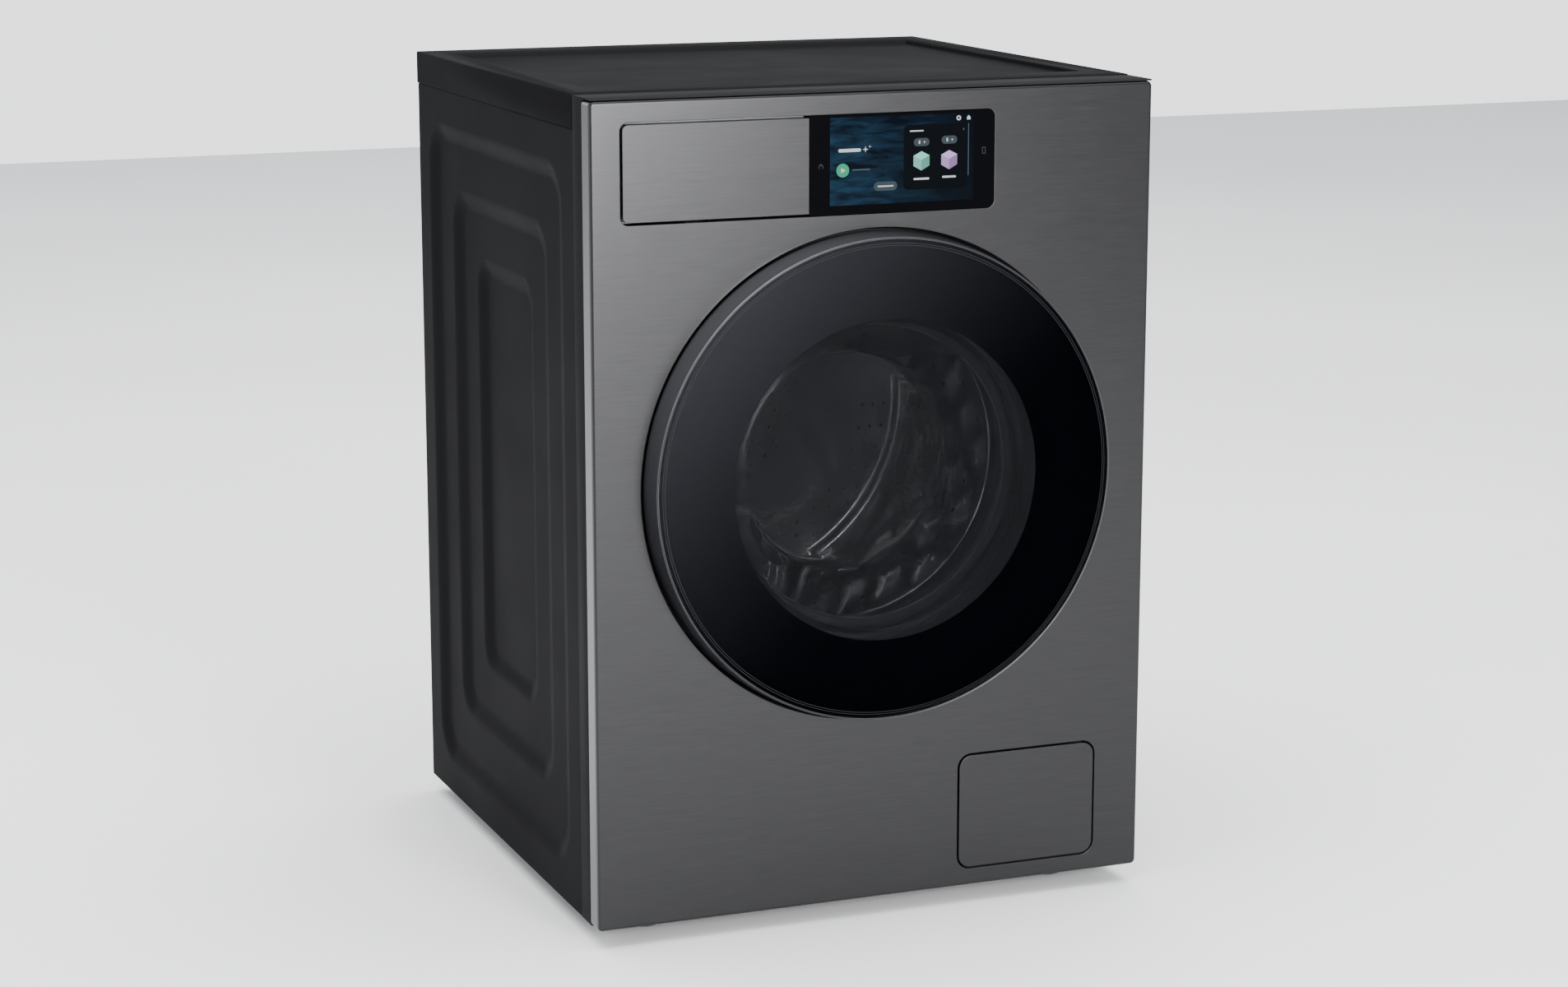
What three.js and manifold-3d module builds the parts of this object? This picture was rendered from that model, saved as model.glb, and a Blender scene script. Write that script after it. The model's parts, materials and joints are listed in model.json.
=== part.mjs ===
// A free-standing front-loading washing machine, as an assembly of its separate pieces.
// Millimetres, +Z up, +X to the right as one faces the door, +Y towards the back.
// The origin is on the floor, midway across the width and midway between door glass and back panel.

import * as THREE from 'three';
import { mergeVertices } from 'three/addons/utils/BufferGeometryUtils.js';
import Module from 'manifold-3d';

const wasm = await Module();
wasm.setup();

// ---- Driving dimensions -------------------------------------------------------------------------

// Cabinet
const WIDTH = 600;
const DEPTH = 600; // front panel's face to back panel's face
const HEIGHT = 850;
const FOOT_HEIGHT = 20;
const FOOT_INSET = 72; // foot centre, in from the sides, the front and the back
const FOOT_RADIUS = 20;
const SHEET = 1.2; // steel sheet of the casing
const TOUCH = 0.3; // gap between pieces that touch
const SIDE_SET_IN = 1.2; // side panels, inside the front panel and the top cover
const STEEL_BELOW_TOP = 3;
const FRAME_BELOW_TOP = 1;
const PANEL_EDGE_RADIUS = 3.5;
const PANEL_RETURN = 22; // depth of the front panel's folded sides
const FRAME_BACK = 53; // where the black frame ends and the side panels start
const FRAME_WALL = 2.5;
const COVER_HEIGHT = 35;
const COVER_WALL = 3;
const COVER_TOP_WALL = 3.5;
const COVER_RECESS = 5;
const COVER_RIM_SIDE = 31;
const COVER_RIM_BACK = 48;
const COVER_RAMP = [47, 77]; // start and end of the recess's front ramp, behind the frame
const BACK_FLANGE = 15;

// Side panel pressing: each ring's inset from the one before, across the depth and up the height,
// with its corner radius and how far its surface lies inside the panel's face
const PRESSING = [
  { inset: [31, 31], corner: 55, sunk: 0 },
  { inset: [39, 31], corner: 22, sunk: 6 },
  { inset: [29, 36], corner: 45, sunk: 6 },
  { inset: [40, 32], corner: 18, sunk: 12 },
  { inset: [31, 35], corner: 36, sunk: 12 },
  { inset: [35, 31], corner: 14, sunk: 18 },
];

// Control strip, measured from the front panel's left edge and from the machine's top
const STRIP_LEFT = 31;
const STRIP_DROP = 24.6;
const STRIP_HEIGHT = 98.8;
const STRIP_CORNER = 8;
const DRAWER_WIDTH = 192.8;
const DRAWER_GAP = 2.2;
const DISPLAY_WIDTH = 197.7;
const DISPLAY_GAP = 0.4;
const SCREEN_BORDER = [21.1, 22.7]; // left and right, inside the display glass
const SCREEN_MARGIN = [9, 2.7]; // bottom and top
const DRAWER_FRONT = 12;
const DRAWER_LENGTH = 300;
const DRAWER_TRAVEL_SPARE = 30; // behind the drawer in its housing
const TRAY_WALL = 2;

// Service flap at the bottom right
const FLAP_WIDTH = 153;
const FLAP_HEIGHT = 120;
const FLAP_GAP = 2;
const FLAP_CORNER = 13;
const FLAP_FROM_RIGHT = 53;
const FLAP_RISE = 20; // above the cabinet's base
const FLAP_PIN_RISE = 12; // hinge pin above the flap's lower edge
const FLAP_PIN_DEPTH = 5; // hinge pin behind the flap's face
const BAY_DEPTH = 30;
const CAP_RADIUS = 33;
const FILTER_RADIUS = 24;

// Door, on the drum's axis
const AXIS_HEIGHT = 462;
const DOOR_PROUD = 29;
const DOOR_RADIUS = 247.3; // at the panel
const DOOR_FRONT_RADIUS = DOOR_RADIUS - 4.8;
const DOOR_GAP = 3.2;
const DOOR_BEHIND = 4; // how far the door's rim reaches behind the panel's face
const GLASS = 3.8;
const RIM_WALL = 3;
const RIM_FLANGE = 28;
const WINDOW_RADIUS = DOOR_RADIUS - 83.8;
const BOWL_END_RADIUS = WINDOW_RADIUS - 45.5;
const BOWL_DEPTH = 96;
const BOWL_WALL = 4.5;
const BOWL_FLANGE = 14;
const DISH_FLOOR = 22; // depth of the door surround's floor
const DISH_INNER = WINDOW_RADIUS + 10.5;
const DISH_WALL = 2.4;
const HINGE_FROM_EDGE = 22.3; // door hinge axis, in from the door's left edge
const HINGE_IN_FRONT = 14; // of the panel's face
const HINGE_PIN = 3;
const HINGE_KNUCKLE = 6;
const HINGE_ARM_HALF = 20; // half the fixed arm's height
const HINGE_LEAF_HALF = 37; // half the door leaf's height
const HOOK_FROM_EDGE = 34; // hook pivot, in from the door's right edge
const GRIP_HALF = 60; // half the finger grip's height

// Tub, drum and drive, depths behind the front panel's face
const TUB_SIDE_ROOM = 23.6; // between tub and the side panels' deepest pressing
const TUB_TOP_ROOM = 10.5; // between tub and the drawer above it
const TUB_WALL = 6;
const TUB_FRONT = 75;
const TUB_SPLIT = 250;
const TUB_BACK_ROOM = 96; // between the tub's back wall and the back panel
const DRUM_ROOM = 10; // between drum and tub
const DRUM_SHEET = 1.2;
const DRUM_MOUTH = WINDOW_RADIUS + 4.5;
const LIFTER_HEIGHT = 48;
const SHAFT_RADIUS = 15;
const BEARING_RADIUS = 35;
const PULLEY_RADIUS = 135;
const PULLEY_WIDTH = 14;
const MOTOR_PULLEY_RADIUS = 12;
const MOTOR_DROP = 334; // motor axis below the drum's axis
const MOTOR_RADIUS = 52;
const BELT = 4;
const TROUGH = [60, 20]; // half width, and depth below the tub
const SPRING_X = 200;
const SPRING_DEPTH = 400;
const DAMPER_X = 150;
const DAMPER_DEPTH = 300;

// ---- Worked-out places --------------------------------------------------------------------------

const faceY = (DOOR_PROUD - DEPTH) / 2;
const halfWidth = WIDTH / 2;
const base = FOOT_HEIGHT;
const steelTop = HEIGHT - STEEL_BELOW_TOP;
const coverBottom = HEIGHT - COVER_HEIGHT + TOUCH;
const sideFace = halfWidth - SIDE_SET_IN;
const sideInner = sideFace - SHEET;
const behindPanel = SHEET + TOUCH;
const pressingDepth = PRESSING[PRESSING.length - 1].sunk;

const strip = {
  x0: STRIP_LEFT - halfWidth,
  z1: HEIGHT - STRIP_DROP,
  z0: HEIGHT - STRIP_DROP - STRIP_HEIGHT,
};
const drawer = {
  x0: strip.x0 + DRAWER_GAP,
  x1: strip.x0 + DRAWER_GAP + DRAWER_WIDTH,
  z0: strip.z0 + DRAWER_GAP,
  z1: strip.z1 - DRAWER_GAP,
};
const display = {
  x0: drawer.x1 + DISPLAY_GAP,
  x1: drawer.x1 + DISPLAY_GAP + DISPLAY_WIDTH,
  z0: strip.z0 + DISPLAY_GAP,
  z1: strip.z1 - DISPLAY_GAP,
};
strip.x1 = display.x1 + DISPLAY_GAP;

const flap = { x1: halfWidth - FLAP_FROM_RIGHT, z0: base + FLAP_RISE };
flap.x0 = flap.x1 - FLAP_WIDTH;
flap.z1 = flap.z0 + FLAP_HEIGHT;
const bay = {
  x0: flap.x0 - FLAP_GAP,
  x1: flap.x1 + FLAP_GAP,
  z0: flap.z0 - FLAP_GAP,
  z1: flap.z1 + FLAP_GAP,
};
const filterX = (flap.x0 + flap.x1) / 2 + 12;
const filterZ = (flap.z0 + flap.z1) / 2 - 2;

const holeRadius = DOOR_RADIUS + DOOR_GAP;
const hingeX = HINGE_FROM_EDGE - DOOR_RADIUS;
const hingeY = -HINGE_IN_FRONT;
const hookX = DOOR_RADIUS - HOOK_FROM_EDGE;

const widestTub = sideInner - pressingDepth - TUB_SIDE_ROOM;
const tallestTub = drawer.z0 - AXIS_HEIGHT - TUB_TOP_ROOM;
const tubRadius = Math.min(widestTub, tallestTub);
const tubMouth = WINDOW_RADIUS + 22.5;
const tubInner = tubRadius - TUB_WALL;
const tubBack = DEPTH - TUB_BACK_ROOM;
const drumRadius = tubInner - DRUM_ROOM;
const drumBack = tubBack - 44;
const hubBack = tubBack + 36;
const pulleyFront = hubBack + 8;
const motorHeight = AXIS_HEIGHT - MOTOR_DROP;

// ---- Colours ------------------------------------------------------------------------------------

function finish(color, roughness, metalness) {
  return new THREE.MeshStandardMaterial({ color, roughness, metalness });
}

const brushedSteel = finish(0x8f8e8b, 0.35, 1);
const paintedGrey = finish(0x2c2d30, 0.55, 0.2);
const blackPlastic = finish(0x26272a, 0.5, 0);
const glossBlack = finish(0x0c0d10, 0.12, 0);
const tintedGlass = finish(0x0a0b0e, 0.05, 0);
const bowlGlass = finish(0x9fb0b6, 0.05, 0);
const screenBlue = finish(0x1d5f8e, 0.2, 0);
const greyRubber = finish(0x55575a, 0.8, 0);
const blackRubber = finish(0x161616, 0.85, 0);
const whitePlastic = finish(0xd7d8d6, 0.5, 0);
const greyPlastic = finish(0x7c8082, 0.55, 0);
const zinc = finish(0xa6a9aa, 0.4, 0.9);
const drumSteel = finish(0xc4c6c7, 0.25, 1);
const castAluminium = finish(0x9a9c9d, 0.5, 0.9);
const concrete = finish(0x8d8b86, 0.95, 0);
const brass = finish(0xb5933f, 0.35, 0.9);

// ---- Shape helpers ------------------------------------------------------------------------------

function withoutSlivers(index) {
  const kept = [];
  for (let i = 0; i < index.length; i += 3) {
    const [a, b, c] = [index[i], index[i + 1], index[i + 2]];
    if (a !== b && b !== c && c !== a) kept.push(a, b, c);
  }
  return kept;
}

// Six times the volume that the triangles hold, negative when the faces point inwards.
function signedVolume(position, index) {
  const corner = [0, 1, 2].map(() => new THREE.Vector3());
  let sum = 0;
  for (let i = 0; i < index.length; i += 3) {
    corner.forEach((point, k) => point.fromArray(position, 3 * index[i + k]));
    sum += corner[0].dot(corner[1].clone().cross(corner[2]));
  }
  return sum;
}

function solid(geometry) {
  const bare = geometry.clone();
  bare.deleteAttribute('normal');
  bare.deleteAttribute('uv');
  const merged = mergeVertices(bare, 1e-4);
  const position = merged.attributes.position.array;
  const index = withoutSlivers(merged.index.array);
  if (signedVolume(position, index) < 0) index.reverse();
  const mesh = new wasm.Mesh({
    numProp: 3,
    vertProperties: new Float32Array(position),
    triVerts: new Uint32Array(index),
  });
  return new wasm.Manifold(mesh);
}

function geometryOf(body) {
  const mesh = body.getMesh();
  const geometry = new THREE.BufferGeometry();
  geometry.setAttribute('position', new THREE.BufferAttribute(mesh.vertProperties, 3));
  geometry.setIndex(new THREE.BufferAttribute(mesh.triVerts, 1));
  geometry.computeVertexNormals();
  return geometry;
}

function join(...bodies) {
  return bodies.reduce((whole, body) => whole.add(body));
}

function cut(body, ...tools) {
  return tools.reduce((left, tool) => left.subtract(tool), body);
}

function box([x0, x1], [y0, y1], [z0, z1]) {
  const geometry = new THREE.BoxGeometry(x1 - x0, y1 - y0, z1 - z0);
  geometry.translate((x0 + x1) / 2, (y0 + y1) / 2, (z0 + z1) / 2);
  return solid(geometry);
}

// A cylinder along 'x', 'y' or 'z' that starts at the given end and runs the given length.
function rod(axis, radius, [x, y, z], length, sides = 14) {
  const geometry = new THREE.CylinderGeometry(radius, radius, length, sides);
  if (axis === 'x') geometry.rotateZ(-Math.PI / 2).translate(length / 2, 0, 0);
  if (axis === 'y') geometry.translate(0, length / 2, 0);
  if (axis === 'z') geometry.rotateX(Math.PI / 2).translate(0, 0, length / 2);
  geometry.translate(x, y, z);
  return solid(geometry);
}

// Turned about the Y axis from [radius, depth] points. A profile off the axis is closed here.
function turned(points, sides) {
  const offAxis = points[0][0] > 0;
  const profile = offAxis ? [...points, points[0]] : points;
  const vectors = profile.map(([radius, depth]) => new THREE.Vector2(radius, depth));
  return solid(new THREE.LatheGeometry(vectors, sides));
}

// The same profile turned about the Z axis, as [radius, height] points.
function turnedUp(points, sides) {
  const vectors = points.map(([radius, height]) => new THREE.Vector2(radius, height));
  return solid(new THREE.LatheGeometry(vectors, sides).rotateX(Math.PI / 2));
}

// A wall of even thickness along an open line of points, as a closed profile.
function ribbon(points, thickness) {
  const line = points.map(([a, b]) => new THREE.Vector2(a, b));
  const edge = (sign) => line.map((point, i) => {
    const before = point.clone().sub(line[Math.max(i - 1, 0)]);
    const after = line[Math.min(i + 1, line.length - 1)].clone().sub(point);
    const first = (i === 0 ? after : before).normalize();
    const second = (i === line.length - 1 ? first : after).clone().normalize();
    const middle = first.clone().add(second).normalize();
    const reach = thickness / 2 / middle.dot(first);
    return [point.x - sign * middle.y * reach, point.y + sign * middle.x * reach];
  });
  return [...edge(1), ...edge(-1).reverse()];
}

// Outline of a rectangle whose left and right corners are rounded.
function roundedRect({ x0, x1, z0, z1 }, leftRadius, rightRadius = leftRadius) {
  const shape = new THREE.Shape();
  const corner = (x, z, radius, start) => {
    if (radius > 0) shape.absarc(x, z, radius, start, start + Math.PI / 2);
    else shape.lineTo(x, z);
  };
  shape.moveTo(x0 + leftRadius, z0);
  shape.lineTo(x1 - rightRadius, z0);
  corner(x1 - rightRadius, z0 + rightRadius, rightRadius, -Math.PI / 2);
  shape.lineTo(x1, z1 - rightRadius);
  corner(x1 - rightRadius, z1 - rightRadius, rightRadius, 0);
  shape.lineTo(x0 + leftRadius, z1);
  corner(x0 + leftRadius, z1 - leftRadius, leftRadius, Math.PI / 2);
  shape.lineTo(x0, z0 + leftRadius);
  corner(x0 + leftRadius, z0 + leftRadius, leftRadius, Math.PI);
  return shape;
}

// An upright plate: an outline across X and Z, from one depth to another.
function plate(shape, [y0, y1], curveSegments = 3) {
  const options = { depth: y1 - y0, bevelEnabled: false, curveSegments };
  const geometry = new THREE.ExtrudeGeometry(shape, options);
  return solid(geometry.rotateX(Math.PI / 2).translate(0, y1, 0));
}

// An outline across X and Y, from one height to another.
function column(points, [z0, z1]) {
  const shape = new THREE.Shape(points.map(([x, y]) => new THREE.Vector2(x, y)));
  const geometry = new THREE.ExtrudeGeometry(shape, { depth: z1 - z0, bevelEnabled: false });
  return solid(geometry.translate(0, 0, z0));
}

// An outline across Y and Z, from one X to another.
function beam(points, [x0, x1]) {
  const shape = new THREE.Shape(points.map(([y, z]) => new THREE.Vector2(y, z)));
  const geometry = new THREE.ExtrudeGeometry(shape, { depth: x1 - x0, bevelEnabled: false });
  const turn = new THREE.Matrix4().makeBasis(
    new THREE.Vector3(0, 1, 0),
    new THREE.Vector3(0, 0, 1),
    new THREE.Vector3(1, 0, 0),
  );
  return solid(geometry.applyMatrix4(turn).translate(x0, 0, 0));
}

// A round wire or hose along a curve.
function tube(curve, radius, steps, sides) {
  const section = new THREE.Shape();
  for (let i = 0; i < sides; i += 1) {
    const angle = (2 * Math.PI * i) / sides;
    const point = [radius * Math.cos(angle), radius * Math.sin(angle)];
    if (i === 0) section.moveTo(...point);
    else section.lineTo(...point);
  }
  return solid(new THREE.ExtrudeGeometry(section, { extrudePath: curve, steps }));
}

function mirrored(body) {
  const flipped = geometryOf(body).applyMatrix4(new THREE.Matrix4().makeScale(-1, 1, 1));
  return solid(flipped);
}

// ---- Scene graph --------------------------------------------------------------------------------

const machine = new THREE.Group();
const cabinet = new THREE.Group(); // its Y is the depth behind the front panel's face
cabinet.position.y = faceY;
const onAxis = new THREE.Group(); // as cabinet, with its Z measured from the drum's axis
onAxis.position.z = AXIS_HEIGHT;
cabinet.add(onAxis);
machine.add(cabinet);

function place(group, name, body, material) {
  const mesh = new THREE.Mesh(geometryOf(body), material);
  mesh.name = name;
  group.add(mesh);
}

// ---- Casing -------------------------------------------------------------------------------------

// One sheet, folded back at its four edges, with openings for door, control strip and service flap.
function frontPanel() {
  const r = PANEL_EDGE_RADIUS;
  const fold = (inset, radius) => {
    const points = [];
    for (let i = 0; i <= 3; i += 1) {
      const angle = (Math.PI / 6) * i;
      const x = halfWidth - r + radius * Math.sin(angle);
      points.push([x, r - radius * Math.cos(angle)]);
    }
    points.push([halfWidth - inset, PANEL_RETURN]);
    return points;
  };
  const flipX = (points) => points.map(([x, y]) => [-x, y]).reverse();
  const outer = fold(0, r);
  const inner = fold(SHEET, r - SHEET);
  const outside = [...flipX(outer), ...outer];
  const inside = [...flipX(inner), ...inner].reverse();
  const section = [...outside, ...inside];
  const skin = column(section, [base, steelTop]);
  const across = [-halfWidth + SHEET, halfWidth - SHEET];
  const lip = [SHEET / 2, PANEL_RETURN];
  const top = box(across, lip, [steelTop - SHEET, steelTop]);
  const bottom = box(across, lip, [base, base + SHEET]);
  const opening = [-1, SHEET + 1];
  const doorHole = rod('y', holeRadius, [0, -1, AXIS_HEIGHT], SHEET + 2, 32);
  const stripHole = plate(roundedRect(strip, STRIP_CORNER), opening);
  const flapHole = plate(roundedRect(bay, FLAP_CORNER + FLAP_GAP), opening);
  return cut(join(skin, top, bottom), doorHole, stripHole, flapHole);
}

// Black moulded frame behind the front panel, seen as a strip along the sides and the top.
function frontFrame() {
  const x = halfWidth - SIDE_SET_IN / 2;
  const top = HEIGHT - FRAME_BELOW_TOP;
  const span = [PANEL_RETURN + TOUCH, FRAME_BACK - TOUCH];
  const outside = box([-x, x], span, [base, top]);
  const inside = box(
    [-x + FRAME_WALL, x - FRAME_WALL],
    [0, FRAME_BACK],
    [base + FRAME_WALL, top - FRAME_WALL],
  );
  const nose = box([-x, x], [SHEET / 2, PANEL_RETURN + 1], [steelTop + TOUCH, top]);
  return join(cut(outside, inside), nose);
}

// Points of a rounded rectangle across Y and Z, anticlockwise from its lower back corner.
function ringPoints([y0, y1, z0, z1], radius) {
  const points = [];
  const centres = [
    [y1 - radius, z0 + radius],
    [y1 - radius, z1 - radius],
    [y0 + radius, z1 - radius],
    [y0 + radius, z0 + radius],
  ];
  centres.forEach(([y, z], quarter) => {
    for (let i = 0; i <= 3; i += 1) {
      const angle = (Math.PI / 2) * (quarter - 1 + i / 3);
      points.push([y + radius * Math.cos(angle), z + radius * Math.sin(angle)]);
    }
  });
  return points;
}

// Side panel as a sheet with three nested pressings, and a flange for the back panel.
function sidePanel() {
  const edges = [FRAME_BACK, DEPTH - SHEET - TOUCH, base, coverBottom - TOUCH];
  const rings = [{ points: ringPoints(edges, 0.4), sunk: 0 }];
  for (const { inset, corner, sunk } of PRESSING) {
    edges[0] += inset[0];
    edges[1] -= inset[0];
    edges[2] += inset[1];
    edges[3] -= inset[1];
    rings.push({ points: ringPoints(edges, corner), sunk });
  }
  const count = rings[0].points.length;
  const skins = [sideFace, sideInner].map((x) => rings.flatMap(({ points, sunk }) => (
    points.flatMap(([y, z]) => [x - sunk, y, z])
  )));
  const half = rings.length * count;
  const index = [];
  const quad = (a, b, c, d) => index.push(a, b, c, a, c, d);
  for (let i = 0; i < count; i += 1) {
    const next = (i + 1) % count;
    for (let ring = 0; ring + 1 < rings.length; ring += 1) {
      const [a, b] = [ring * count + i, ring * count + next];
      quad(a, b, b + count, a + count);
      quad(half + b, half + a, half + a + count, half + b + count);
    }
    quad(next, i, half + i, half + next);
  }
  const last = (rings.length - 1) * count;
  for (let i = 1; i + 1 < count; i += 1) {
    index.push(last, last + i, last + i + 1);
    index.push(half + last, half + last + i + 1, half + last + i);
  }
  const geometry = new THREE.BufferGeometry();
  geometry.setAttribute('position', new THREE.Float32BufferAttribute(skins.flat(), 3));
  geometry.setIndex(index);
  const flange = box(
    [sideFace - BACK_FLANGE, sideFace - SHEET / 2],
    [DEPTH - 2 * SHEET - TOUCH, DEPTH - SHEET - TOUCH],
    [base + 1, coverBottom - TOUCH - 1],
  );
  return join(solid(geometry), flange);
}

// Lid of the cabinet: a shallow recess on top, open in front over the control strip.
function topCover() {
  const back = DEPTH;
  const shell = box([-halfWidth, halfWidth], [FRAME_BACK + TOUCH, back], [coverBottom, HEIGHT]);
  const hollow = box(
    [-halfWidth + COVER_WALL, halfWidth - COVER_WALL],
    [FRAME_BACK - 1, back - COVER_WALL],
    [coverBottom - 1, HEIGHT - COVER_RECESS - COVER_TOP_WALL],
  );
  const [rampStart, rampEnd] = COVER_RAMP.map((depth) => FRAME_BACK + depth);
  const recess = beam(
    [
      [rampStart, HEIGHT],
      [rampEnd, HEIGHT - COVER_RECESS],
      [back - COVER_RIM_BACK - COVER_RECESS, HEIGHT - COVER_RECESS],
      [back - COVER_RIM_BACK, HEIGHT],
      [back - COVER_RIM_BACK, HEIGHT + 1],
      [rampStart, HEIGHT + 1],
    ],
    [-halfWidth + COVER_RIM_SIDE, halfWidth - COVER_RIM_SIDE],
  );
  return cut(shell, hollow, recess);
}

const serviceRadius = PULLEY_RADIUS + BELT + 12;
const inlet = { x: -halfWidth + 110, z: HEIGHT - 75 };
const drain = { x: halfWidth - 60, z: HEIGHT - 75 };
const gland = { x: -halfWidth + 60, z: base + 180 };
const spigotRadius = 13;
const glandRadius = 8;

// Back panel, screwed over the side panels' flanges, with a round access opening to the belt.
function backPanel() {
  const from = DEPTH - SHEET;
  const x = sideFace - TOUCH;
  const sheet = box([-x, x], [from, DEPTH], [base + 1, coverBottom - 1]);
  return cut(
    sheet,
    rod('y', serviceRadius, [0, from - 1, AXIS_HEIGHT], 4, 28),
    rod('y', spigotRadius + 2, [inlet.x, from - 1, inlet.z], 4),
    rod('y', spigotRadius + 2, [drain.x, from - 1, drain.z], 4),
    rod('y', glandRadius + TOUCH, [gland.x, from - 1, gland.z], 4),
  );
}

function serviceCover() {
  const from = DEPTH - SHEET;
  const lip = serviceRadius + 7;
  return turned([
    [0, from - SHEET - TOUCH],
    [lip, from - SHEET - TOUCH],
    [lip, from - TOUCH],
    [serviceRadius - 1, from - TOUCH],
    [serviceRadius - 1, DEPTH],
    [serviceRadius - 14, DEPTH],
    [serviceRadius - 18, DEPTH - 1],
    [0, DEPTH - 1],
  ], 28);
}

const trayTop = base + PRESSING[0].inset[1] - 2;
const trayFloor = base + 4;
const trayFront = FRAME_BACK + 1;
const trayBack = DEPTH - SHEET * 2 - TOUCH * 2;
const footPlaces = [
  ['foot_front_left', -1, FOOT_INSET],
  ['foot_front_right', 1, FOOT_INSET],
  ['foot_back_left', -1, DEPTH - FOOT_INSET],
  ['foot_back_right', 1, DEPTH - FOOT_INSET],
];
const footX = halfWidth - FOOT_INSET;
const stemRadius = 5;

// Moulded tray that carries the cabinet, the dampers and the pump.
function baseTray() {
  const x = sideInner - TOUCH;
  const floorZ = base + TOUCH;
  const block = box([-x, x], [trayFront, trayBack], [floorZ, trayTop]);
  const hollow = box([-x + 3, x - 3], [trayFront + 3, trayBack - 3], [trayFloor, trayTop + 1]);
  const holes = footPlaces.map(([, side, y]) => (
    rod('z', stemRadius + TOUCH, [side * footX, y, floorZ - 1], 8)
  ));
  const ribs = [0.34, 0.66].map((share) => {
    const y = trayFront + share * (trayBack - trayFront);
    return box([-x + 1, x - 1], [y - 1.5, y + 1.5], [floorZ + 1, trayTop - 8]);
  });
  return cut(join(cut(block, hollow), ...ribs), ...holes);
}

function foot() {
  return turnedUp([
    [0, 0],
    [FOOT_RADIUS - 2, 0],
    [FOOT_RADIUS, 2],
    [FOOT_RADIUS, 9],
    [FOOT_RADIUS - 7, 14],
    [FOOT_RADIUS - 8, FOOT_HEIGHT],
    [stemRadius, FOOT_HEIGHT],
    [stemRadius, FOOT_HEIGHT + 18],
    [0, FOOT_HEIGHT + 18],
  ], 14);
}

const brace = {
  y0: SPRING_DEPTH - 15,
  y1: SPRING_DEPTH + 15,
  z1: coverBottom - 2,
  z0: coverBottom - 17,
};

// Channel across the cabinet, under the cover, that the tub's springs hang from.
function topBrace() {
  const x = sideInner - TOUCH;
  const bar = box([-x, x], [brace.y0, brace.y1], [brace.z0, brace.z1]);
  const hollow = box([-x - 1, x + 1], [brace.y0 + 1.5, brace.y1 - 1.5], [brace.z0 + 1.5, brace.z1 + 1]);
  return cut(bar, hollow);
}

const side = sidePanel();
place(cabinet, 'side_panel_right', side, paintedGrey);
place(cabinet, 'side_panel_left', mirrored(side), paintedGrey);
place(cabinet, 'front_panel', frontPanel(), brushedSteel);
place(cabinet, 'front_frame', frontFrame(), blackPlastic);
place(cabinet, 'top_cover', topCover(), blackPlastic);
place(cabinet, 'back_panel', backPanel(), zinc);
place(onAxis, 'service_cover', serviceCover(), zinc);
place(cabinet, 'base_tray', baseTray(), blackPlastic);
place(cabinet, 'top_brace', topBrace(), zinc);
for (const [name, side, y] of footPlaces) {
  const pad = new THREE.Mesh(geometryOf(foot()), blackRubber);
  pad.name = name;
  pad.position.set(side * footX, y, 0);
  cabinet.add(pad);
}

// ---- Control strip ------------------------------------------------------------------------------

// Front of the detergent drawer, in the front panel's finish, rounded at its left corners.
function drawerFront() {
  const shape = roundedRect(drawer, STRIP_CORNER - DRAWER_GAP, 0.5);
  const skin = plate(shape, [0, DRAWER_FRONT]);
  const inside = {
    x0: drawer.x0 + 2,
    x1: drawer.x1 - 2,
    z0: drawer.z0 + 2,
    z1: drawer.z1 - 2,
  };
  return cut(skin, plate(roundedRect(inside, 4, 0.3), [2, DRAWER_FRONT + 1]));
}

const housing = {
  x0: strip.x0 + 0.4,
  x1: display.x0 - 1.2,
  z0: strip.z0 + 0.4,
  z1: strip.z1 - 0.4,
  back: DRAWER_LENGTH + DRAWER_TRAVEL_SPARE,
};
const trayBox = {
  x0: housing.x0 + TRAY_WALL + 2.5,
  x1: housing.x1 - TRAY_WALL - 2.5,
  z0: housing.z0 + TRAY_WALL + 1.5,
  z1: housing.z1 - TRAY_WALL - 12,
};

// Open tray with three compartments: softener on the left, main wash, prewash.
function drawerBox() {
  const y0 = DRAWER_FRONT + TOUCH;
  const block = box([trayBox.x0, trayBox.x1], [y0, DRAWER_LENGTH], [trayBox.z0, trayBox.z1]);
  const room = (trayBox.x1 - trayBox.x0 - 4 * TRAY_WALL) / 3;
  const wells = [0, 1, 2].map((i) => {
    const x = trayBox.x0 + TRAY_WALL + i * (room + TRAY_WALL);
    const span = [y0 + TRAY_WALL, DRAWER_LENGTH - TRAY_WALL];
    return box([x, x + room], span, [trayBox.z0 + TRAY_WALL, trayBox.z1 + 1]);
  });
  return cut(block, ...wells);
}

// Water distributor around the drawer, open at the front, with the spray roof on top.
function dispenserHousing() {
  const w = TRAY_WALL;
  const block = box(
    [housing.x0, housing.x1],
    [DRAWER_FRONT + 1, housing.back],
    [housing.z0, housing.z1],
  );
  const room = box(
    [housing.x0 + w, housing.x1 - w],
    [0, housing.back - w],
    [housing.z0 + w, housing.z1 - w],
  );
  const outletX = housing.x0 + 40;
  const outlet = rod('y', spigotRadius, [outletX, housing.back - 1, housing.z0 + 30], 24);
  return join(cut(block, room), outlet);
}

function displayGlass() {
  return plate(roundedRect(display, 0.5, STRIP_CORNER - DISPLAY_GAP), [0, 3], 3);
}

const screen = {
  x0: display.x0 + SCREEN_BORDER[0],
  x1: display.x1 - SCREEN_BORDER[1],
  z0: display.z0 + SCREEN_MARGIN[0],
  z1: display.z1 - SCREEN_MARGIN[1],
};
const screenSpan = [3 + TOUCH, 8];

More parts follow.
